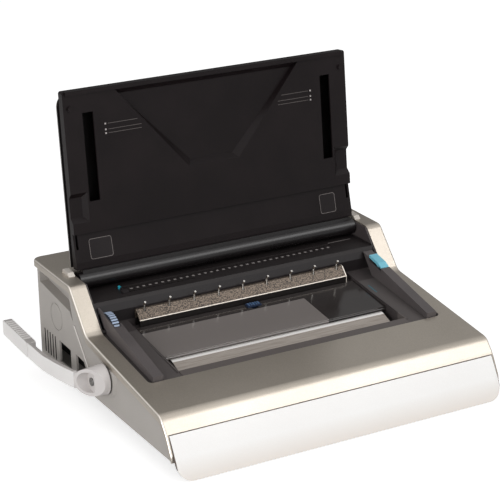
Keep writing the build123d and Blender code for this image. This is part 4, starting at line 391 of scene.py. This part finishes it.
# Gears, bearings and guide blocks
# The large gears and the guide blocks are moulded in white acetal with a waxy sheen. The
# pinion on the motor is cut from brass, and the bearings are pressed from bronze powder.
gear_plastic = moulding("white_acetal", "dcdad2", "d2d0c8", 0.45)
for gear in ("cam_gear", "idler_gear", "jaw_guides"):
    dress(gear, gear_plastic)
dress("shaft_bearings", drawn_steel("sintered_bronze", "9b7a4a", "87693d", 0.4, spread=1.0))
dress("motor_pinion", drawn_steel("brass_pinion", "b08d4c", "9c7b40", 0.35, spread=1.0))

# Board, power unit and fittings
# A green glass-fibre board stands inside with a dark power unit. The mains inlet, the switch
# housings and the rocker are black mouldings, polished so that they catch small glints.
dress("circuit_board", moulding("green_glass_board", "1f5a34", "1a4e2d", 0.4, relief_mm=0.02))
dress("transformer", moulding("dark_power_unit", "2c2c2e", "252527", 0.5))
fitting_plastic = moulding("black_fitting", "141414", "101010", 0.3, relief_mm=0.02)
for fitting in ("power_inlet", "switch_housing", "power_rocker", "button_switch"):
    dress(fitting, fitting_plastic)

# Side and rear covers
# Moulded panels under the skirt of the hood, in a warm grey lacquer that a fine texture dulls.
# The rib beside the riser carries a painted highlight. The windows and the slit are painted
# dark as painted shade in their depth.
depth_shade = "1f1b1a"
rib_highlight = "dcd7d2"
rib_across = (218.3, 219)
rib_back = (10, 95)
window_across = (205, 217.2)
window_back = (136, 174)
window_up = (26, 60)
slit = {"X": (-219, -210), "Y": (-31, -29), "Z": (69, 79)}


def both_sides(span):
    """Span in mm across, on the left and on the right of the machine."""
    return (-span[1], -span[0]), span


cover_fields = [(depth_shade, slit, {})]
for across in both_sides(rib_across):
    cover_fields.append((rib_highlight, {"X": across, "Y": rib_back}, {}))
for across in both_sides(window_across):
    cover_fields.append((depth_shade, {"X": across, "Y": window_back, "Z": window_up}, {}))
cover_lacquer = moulding(
    "warm_grey_cover_lacquer", "aca7a2", "a49f9a", 0.6, specular=0.3, fields=cover_fields,
)
for cover in ("left_side_cover", "right_side_cover", "rear_cover"):
    dress(cover, cover_lacquer)

# Hood
# One ABS moulding sprayed with champagne metallic lacquer. Its rolled long edges carry a
# painted highlight. The hinge caps are moulded and sprayed with it.


def metallic_lacquer(
    name, face, deep, rough, metal, coat=0.4, flake_mm=0.7, fields=(), foot=None
):
    """Metallic lacquer: flake cells tilt a little, which gives the eye a fine silky shimmer.

    The flake is drawn coarser than life, so that it still shows. Foot is a colour of painted
    shade that the coat takes towards the foot of the piece, and two heights in mm.
    """
    spray_mm = 90
    flake_share = 0.35
    material, tree = clean_material(name)
    place = add_node(tree, "ShaderNodeTexCoord")
    flake = add_node(
        tree, "ShaderNodeTexVoronoi", {"Scale": 1 / (flake_mm * MM)},
        {"Vector": place.outputs["Object"]},
    )
    spray = add_node(
        tree, "ShaderNodeTexNoise", {"Scale": 1 / (spray_mm * MM), "Detail": 2.0},
        {"Vector": place.outputs["Object"]},
    )
    glint = add_node(tree, "ShaderNodeSeparateXYZ", None, {0: flake.outputs["Color"]})
    blend = add_node(
        tree, "ShaderNodeMix", {0: flake_share},
        {2: spray.outputs["Fac"], 3: glint.outputs["X"]}, data_type="FLOAT",
    )
    colour = two_tone(tree, blend.outputs[0], face, deep, 0.3, 0.7)
    if foot:
        foot_colour, foot_low, foot_high = foot
        axes = add_node(tree, "ShaderNodeSeparateXYZ", None, {0: place.outputs["Object"]})
        near_foot = add_node(
            tree, "ShaderNodeMapRange", {"From Min": foot_high * MM, "From Max": foot_low * MM},
            {"Value": axes.outputs["Z"]},
        )
        faded = add_node(
            tree, "ShaderNodeMix", {7: hex_colour(foot_colour)},
            {0: near_foot.outputs["Result"], 6: colour}, data_type="RGBA",
        )
        colour = faded.outputs[2]
    colour = painted(tree, colour, fields)
    satin = add_node(
        tree, "ShaderNodeMapRange", {"To Min": rough - 0.04, "To Max": rough + 0.06},
        {"Value": glint.outputs["Y"]},
    )
    tilt = add_node(
        tree, "ShaderNodeBump", {"Strength": 0.15, "Distance": 0.02 * MM},
        {"Height": glint.outputs["Z"]},
    )
    surface = add_node(
        tree, "ShaderNodeBsdfPrincipled",
        {"Metallic": metal, "Coat Weight": coat, "Coat Roughness": 0.22},
        {
            "Base Color": colour, "Roughness": satin.outputs["Result"],
            "Normal": tilt.outputs["Normal"],
        },
    )
    add_node(tree, "ShaderNodeOutputMaterial", None, {"Surface": surface.outputs["BSDF"]})
    return material


edge_highlight = "efe8df"
edge_across = (218.4, 219.7)
rolled_edge_highlights = [(edge_highlight, {"X": across}, {}) for across in both_sides(edge_across)]
dress("top_shell", metallic_lacquer(
    "champagne_lacquer_hood", "beb5a9", "b2a99d", 0.32, 0.75, fields=rolled_edge_highlights,
))
dress("hinge_caps", metallic_lacquer("champagne_lacquer_caps", "d2cbc3", "c8c1b8", 0.3, 0.2))

# Drawer front
# The same lacquer in a paler coat with little flake, bulged and nearly white in the light. It
# is painted darker towards its foot as painted shade, and its rim is painted brown as painted
# shade, so that the gap round it reads as a thin line.
rim_shade = "5d5048"
rim_across = (215.9, 217)
rim_up = (48.9, 50)
front_rim = [(rim_shade, {"Z": rim_up}, {})]
for across in both_sides(rim_across):
    front_rim.append((rim_shade, {"X": across}, {}))
dress("drawer_front", metallic_lacquer(
    "pale_champagne_front", "f6f5f3", "f3f1ef", 0.4, 0.0, coat=0.15, fields=front_rim,
    foot=("e6dfd8", 3, 26),
))

# Deck liner
# Charcoal ABS moulding with a fine texture, clipped into the opening of the hood. The throat
# has a row of pale tick marks, one wire pitch apart, and the right step a short cyan mark.
# The marks are drawn coarser than life, so that they still show.
tick_pitch = 8.467
tick_width = 3.4
step_across = (156, 181)
step_back = (-87, 34)
step_up = (60, 95)
throat_up = (117, 123)
trough_ledge = {"X": (-156, 156), "Y": (-87, -57), "Z": (50, 80)}
rear_wall_shade = {"Y": (58, 84), "Z": (95, 123)}
throat_shelf_shade = {"Y": (60, 125), "Z": throat_up}
throat_end_highlight = {"X": (152, 186), "Y": (100.8, 102.6), "Z": throat_up}
step_front_highlight = {"X": (158, 182), "Y": (-86.5, -83.6)}
tick_row = {"X": (-150, 150), "Y": (86.5, 90), "Z": throat_up}
wire_mark = {"X": (161, 162.4), "Y": (0, 20), "Z": (80, 95)}
# Painted light and shade: the trough ledge and the two steps are painted lighter, and the rear
# wall and the throat shelf darker. The right end of the throat and the front edge of the right
# step carry painted highlights.
deck_fields = [("5d5755", trough_ledge, {})]
for across in both_sides(step_across):
    deck_fields.append(("565150", {"X": across, "Y": step_back, "Z": step_up}, {}))
deck_fields += [
    ("1f1b1c", rear_wall_shade, {}),
    ("272323", throat_shelf_shade, {}),
    ("7d7775", throat_end_highlight, {}),
    ("a9a3a0", step_front_highlight, {}),
    ("9a9492", tick_row, {"X": (tick_pitch, tick_width)}),
    ("2b6f80", wire_mark, {}),
]
dress("deck_liner", moulding(
    "charcoal_deck_moulding", "474141", "3f3a3a", 0.42, specular=0.28, fields=deck_fields,
))

# Arms
# Two hollow charcoal ABS mouldings, seated on the steps of the liner. They are a little
# lighter than it, with a silkier shine.
arm_plastic = moulding("charcoal_arm_moulding", "595353", "514c4c", 0.4, specular=0.4)
dress("left_arm", arm_plastic)
dress("right_arm", arm_plastic)

# Size dial
# Grey-blue dyed ABS wheel on a charcoal axle, let into the left arm. Inside its lands the
# wheel is painted dark as painted shade, so that the grooves of its rim read as dark bars
# between the pale lands.
dial_back = 42
dial_up = 93
groove_radius = 21.7
land_radius = 22.4
axle_across = (-200, -192)
dial_material, tree = clean_material("grey_blue_dial")
place = add_node(tree, "ShaderNodeTexCoord")
from_axle = add_node(
    tree, "ShaderNodeVectorMath", {1: (0, dial_back * MM, dial_up * MM)},
    {0: place.outputs["Object"]}, operation="SUBTRACT",
)
flat = add_node(
    tree, "ShaderNodeVectorMath", {1: (0, 1, 1)}, {0: from_axle.outputs[0]},
    operation="MULTIPLY",
)
reach = add_node(tree, "ShaderNodeVectorMath", None, {0: flat.outputs[0]}, operation="LENGTH")
land = add_node(
    tree, "ShaderNodeMapRange", {"From Min": groove_radius * MM, "From Max": land_radius * MM},
    {"Value": reach.outputs["Value"]},
)
dial_colour = painted(
    tree, two_tone(tree, land.outputs["Result"], "a4b4cc", "27303c", 0.3, 0.9),
    [("242020", {"X": axle_across}, {})],
)
dial_plastic = add_node(
    tree, "ShaderNodeBsdfPrincipled", {"Roughness": 0.35}, {"Base Color": dial_colour}
)
add_node(tree, "ShaderNodeOutputMaterial", None, {"Surface": dial_plastic.outputs["BSDF"]})
dress("size_dial", dial_material)

# Button and its spring
# Cyan dyed ABS button in the saddle of the right arm, smooth enough to shine a little. Its
# coil of bright spring wire, which shortens with the button, is coiled again here.
dress("punch_button", moulding(
    "cyan_button", "80cbdf", "77c2d6", 0.3, grain_mm=0.5, relief_mm=0.02,
))
wire_radius = 0.4 * MM
wire_sides = 10
coil_turns = 4
coil_steps = 24
coil_low, coil_high = (Vector(corner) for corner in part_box("button_spring"))
coil_middle = (coil_low + coil_high) / 2
coil_height = coil_high.z - coil_low.z
coil_radius = (coil_high.x - coil_low.x) / 2 - wire_radius
coil_rise = coil_height - 2 * wire_radius
bpy.ops.object.select_all(action="DESELECT")
bpy.ops.mesh.primitive_circle_add(
    vertices=wire_sides, radius=wire_radius, location=(coil_radius, 0, 0),
    rotation=(math.radians(90), 0, 0),
)
spring = bpy.context.object
spring.name = "return_spring"
bpy.ops.object.transform_apply(location=True, rotation=True, scale=True)
coiling = spring.modifiers.new("coiling", "SCREW")
coiling.axis = "Z"
coiling.screw_offset = coil_rise / coil_turns
coiling.iterations = coil_turns
coiling.steps = coil_steps
coiling.render_steps = coil_steps
bpy.ops.object.modifier_apply(modifier=coiling.name)
bpy.ops.object.mode_set(mode="EDIT")
bpy.ops.mesh.select_all(action="SELECT")
bpy.ops.mesh.remove_doubles(threshold=0.001 * MM)
bpy.ops.mesh.fill_holes(sides=wire_sides + 2)
bpy.ops.mesh.select_all(action="SELECT")
bpy.ops.mesh.normals_make_consistent(inside=False)
bpy.ops.object.mode_set(mode="OBJECT")
bpy.ops.object.shade_smooth_by_angle(angle=math.radians(50))
spring.data.transform(
    Matrix.Translation((coil_middle.x, coil_middle.y, coil_low.z + wire_radius))
)
spring.data.materials.append(tool_steel)
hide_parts("button_spring")
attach(spring, "housing")
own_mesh(spring)

# Edge guide
# Small charcoal ABS slide on the throat. Its fence, which reaches into the slot, is cyan, so
# that the eye finds it against the dark deck.
fence_back = (92, 99)
dress("edge_guide", moulding(
    "charcoal_and_cyan_guide", "2c2829", "272324", 0.4, specular=0.35,
    fields=[("35b4cc", {"Y": fence_back}, {})],
))

# Closing strip
# Dull steel strip, fixed under the hook bar, against which the jaw closes the wires. It is
# left unpolished, and reads as a dark line.
dress("closing_anvil", drawn_steel("dull_steel_strip", "4a4744", "3d3a38", 0.45, metal=0.9))

# Jaw bar
# Bright folded steel bar that slides in the trough: a brushed tan-grey face, and a painted
# highlight along its top edge that reads as a white line.
jaw_highlight_up = (73.4, 75)
dress("jaw_bar", drawn_steel(
    "bright_jaw_bar", "b0a79f", "9c938b", 0.36, line_mm=0.9, metal=0.7, spread=0.03,
    fields=[("f2efec", {"Z": jaw_highlight_up}, {})],
))

# Hook bar and hooks
# Folded bronzed sheet with a dark skirt, and a painted highlight along its lower bend and its
# right end. Its speckle is drawn coarser than life, so that it still shows. The nine hooks are
# bent from bright wire and stand in the bar, and each one glints.
bend_highlight = "e6ddd2"
skirt_up = (80, 95.2)
bend_up = (95.2, 96.2)
bend_back = (45, 48)
bar_end_across = (144.4, 146)
dress("hook_bar", drawn_steel(
    "speckled_bronze_bar", "827467", "2c2622", 0.42, line_mm=1.5, metal=0.5, spread=1.0,
    fields=[
        ("211d1c", {"Z": skirt_up}, {}),
        (bend_highlight, {"Z": bend_up, "Y": bend_back}, {}),
        (bend_highlight, {"X": bar_end_across}, {}),
    ],
))
dress("wire_hooks", drawn_steel(
    "bright_hook_wire", "c9c6c1", "b4b0aa", 0.2, line_mm=0.5, spread=1.0,
))

# Storage lid
# Smoked polished lid that tilts up on pins in the end walls of the trough. It mirrors the
# hooks above it. A bare grey guide card lies under its left part.
card = {"X": (-156, 72), "Y": (-32, 28)}
dress("storage_lid", moulding(
    "polished_smoke_lid", "373231", "312d2c", 0.12, relief_mm=0.0, fields=[("7b7572", card, {})],
))

# Latch
# Deep blue dyed ABS slide on the storage lid. Five fine ribs for the finger are moulded on
# its top, in a paler copy of its blue as a painted highlight.


def cast_ribs(name, node, body, places, rib_size, finish):
    """Fine bevelled ribs that stand on top of a piece, at places in mm across and back."""
    down = Vector((0, 0, -1))
    drop_from = 0.5
    bpy.ops.object.select_all(action="DESELECT")
    bpy.ops.mesh.primitive_cube_add(size=1, location=(0, 0, 0))
    pattern = bpy.context.object
    pattern.scale = Vector(rib_size) * MM
    bpy.ops.object.transform_apply(location=False, rotation=False, scale=True)
    bpy.ops.object.mode_set(mode="EDIT")
    bpy.ops.mesh.select_all(action="SELECT")
    bpy.ops.mesh.bevel(offset=min(rib_size) / 3 * MM, segments=2)
    bpy.ops.object.mode_set(mode="OBJECT")
    bpy.context.view_layer.update()
    rows = []
    for across, back in places:
        start = Vector((across * MM, back * MM, drop_from))
        top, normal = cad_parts[node].ray_cast(start, down)[1:3]
        turn = (-down).rotation_difference(normal).to_matrix().to_4x4()
        rib = pattern.copy()
        rib.data = pattern.data.copy()
        bpy.context.scene.collection.objects.link(rib)
        rib.data.transform(Matrix.Translation(top) @ turn)
        rows.append(rib)
    bpy.data.objects.remove(pattern)
    bpy.ops.object.select_all(action="DESELECT")
    for rib in rows:
        rib.select_set(True)
    bpy.context.view_layer.objects.active = rows[0]
    bpy.ops.object.join()
    ribs = bpy.context.object
    ribs.name = name
    ribs.data.materials.append(finish)
    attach(ribs, body)


latch_across = 5
latch_back = 37.6
latch_rib_pitch = 3.4
latch_rib_size = (1.5, 6.2, 1.4)
latch_ribs = [(latch_across + step * latch_rib_pitch, latch_back) for step in range(-2, 3)]
dress("storage_latch", moulding(
    "deep_blue_latch", "22324d", "1c2a42", 0.33, grain_mm=0.5, relief_mm=0.02,
))
latch_rib_plastic = moulding(
    "highlit_blue_latch_ribs", "5a779c", "516d91", 0.3, grain_mm=0.5, relief_mm=0.02
)
cast_ribs(
    "latch_ribs", "storage_latch", "latch", latch_ribs, latch_rib_size, latch_rib_plastic
)

# Lever
# Pale grey ABS lever, screwed to the end of its shaft. The hub, and the top and the underside
# of the arm and the grip, are painted grey as painted shade. Ten ribs keep the fingers from
# sliding.
arm_shade = {"X": (-249.6, -240), "Y": (15, 240)}
hub_shade = {"X": (-254.6, -222), "Y": (-40, 10)}
grip_shade = {"X": (-250.2, -238.9), "Y": (152, 228)}
dress("lever_arm", moulding(
    "pale_grey_lever", "ebe8e6", "e5e2e0", 0.45, specular=0.4,
    fields=[("bcb7b5", arm_shade, {}), ("cac5c3", hub_shade, {})],
))
dress("lever_grip", moulding(
    "pale_grey_grip", "ebe8e6", "e5e2e0", 0.45, specular=0.4,
    fields=[("b9b4b2", grip_shade, {})],
))
grip_across = -244.3
first_rib_back = 164
grip_rib_pitch = 6.2
grip_rib_count = 10
grip_rib_size = (10.4, 3.6, 1.2)
grip_ribs = [
    (grip_across, first_rib_back + step * grip_rib_pitch) for step in range(grip_rib_count)
]
grip_rib_plastic = moulding("pale_grey_ribs", "ebe8e6", "e5e2e0", 0.4, specular=0.4)
cast_ribs("grip_ribs", "lever_grip", "lever", grip_ribs, grip_rib_size, grip_rib_plastic)

# Document lid
# Glossy black ABS shell with a charcoal liner, hinged on the deck behind the throat. Three
# fine lines on each side of the liner mark the sheet sizes, each with a dot at its end. They
# are drawn coarser than life, so that they still show.
hinge_place = (0, 112 * MM, 135 * MM)
lid_lean = 5.3
lid_frame = (hinge_place, lid_lean)
# The left edge of the shell carries a painted highlight.
lid_edge_highlight = {"X": (-196, -193.5), "Y": (18.6, 22.6)}
line_starts = {186: 100, 179: 95, 174.4: 95}
line_end = 139
line_half = 0.3
dot_across = (141.3, 143.3)
dot_half = 1
size_lines = []
for line_up, line_start in line_starts.items():
    for across in both_sides((line_start, line_end)):
        line = {"X": across, "Z": (line_up - line_half, line_up + line_half)}
        size_lines.append(("5d5856", line, {}))
    for across in both_sides(dot_across):
        dot = {"X": across, "Z": (line_up - dot_half, line_up + dot_half)}
        size_lines.append(("a8a2a0", dot, {}))
dress("lid_shell", moulding(
    "glossy_black_lid_shell", "131010", "0f0c0c", 0.35, relief_mm=0.02, specular=0.3, coat=0.8,
    fields=[("a19c99", lid_edge_highlight, {})], lean=lid_frame,
))
dress("lid_liner", moulding(
    "charcoal_lid_liner", "1a1415", "151011", 0.36, specular=0.17, fields=size_lines,
    lean=lid_frame,
))
dress("hinge_barrel", moulding("polished_black_barrel", "151112", "110e0f", 0.3, relief_mm=0.01))

# Lid plates
# Two bare raised plates low on the liner, on the slope of its scoop. Each is moulded in one
# with it, stands three tenths of a millimetre proud, and has a fine pale printed outline.
plate_rise = 0.3
plate_outline = 0.6
plate_corner = 3.0
plate_low = 1.5
plate_high = 26.5
scoop_foot = (-1.0, 22.0)
scoop_lean = 8.93
scoop_place = (
    Matrix.Translation(Vector(hinge_place))
    @ Matrix.Rotation(math.radians(-lid_lean), 4, "X")
    @ Matrix.Translation(Vector((0, *scoop_foot)) * MM)
    @ Matrix.Rotation(math.radians(-scoop_lean), 4, "X")
)
plate_plastic = moulding("charcoal_lid_plate", "1f1a1b", "1a1516", 0.36, specular=0.22)
pale_print = moulding("pale_printed_outline", "7d7775", "736d6b", 0.5, specular=0.2)


def lid_plate(name, left_x, right_x):
    """Bare rounded plate on the scoop, given in mm across."""
    nearly_straight = 0.9
    bpy.ops.object.select_all(action="DESELECT")
    bpy.ops.mesh.primitive_cube_add(size=1, location=(0, 0, 0))
    plate = bpy.context.object
    plate.name = name
    plate.scale = Vector((right_x - left_x, 2 * plate_rise, plate_high - plate_low)) * MM
    bpy.ops.object.transform_apply(location=False, rotation=False, scale=True)
    bpy.ops.object.mode_set(mode="EDIT")
    bpy.ops.mesh.select_mode(type="EDGE")
    bpy.ops.mesh.select_all(action="DESELECT")
    bpy.ops.object.mode_set(mode="OBJECT")
    for edge in plate.data.edges:
        first, second = (plate.data.vertices[index].co for index in edge.vertices)
        edge.select = abs((first - second).normalized().y) > nearly_straight
    bpy.ops.object.mode_set(mode="EDIT")
    bpy.ops.mesh.bevel(offset=plate_corner * MM, segments=6)
    bpy.ops.mesh.select_all(action="DESELECT")
    bpy.ops.mesh.select_mode(type="FACE")
    bpy.ops.object.mode_set(mode="OBJECT")
    for face in plate.data.polygons:
        face.select = face.normal.y < -nearly_straight
    bpy.ops.object.mode_set(mode="EDIT")
    bpy.ops.mesh.inset(thickness=plate_outline * MM)
    bpy.ops.object.mode_set(mode="OBJECT")
    plate.data.materials.append(plate_plastic)
    plate.data.materials.append(pale_print)
    for face in plate.data.polygons:
        outline = face.normal.y < -nearly_straight and not face.select
        face.material_index = 1 if outline else 0
    middle = Vector(((left_x + right_x) / 2, 0, (plate_low + plate_high) / 2)) * MM
    plate.data.transform(scoop_place @ Matrix.Translation(middle))
    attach(plate, "lid")


lid_plate("left_lid_plate", -175.5, -145.5)
lid_plate("right_lid_plate", 149.0, 172.0)
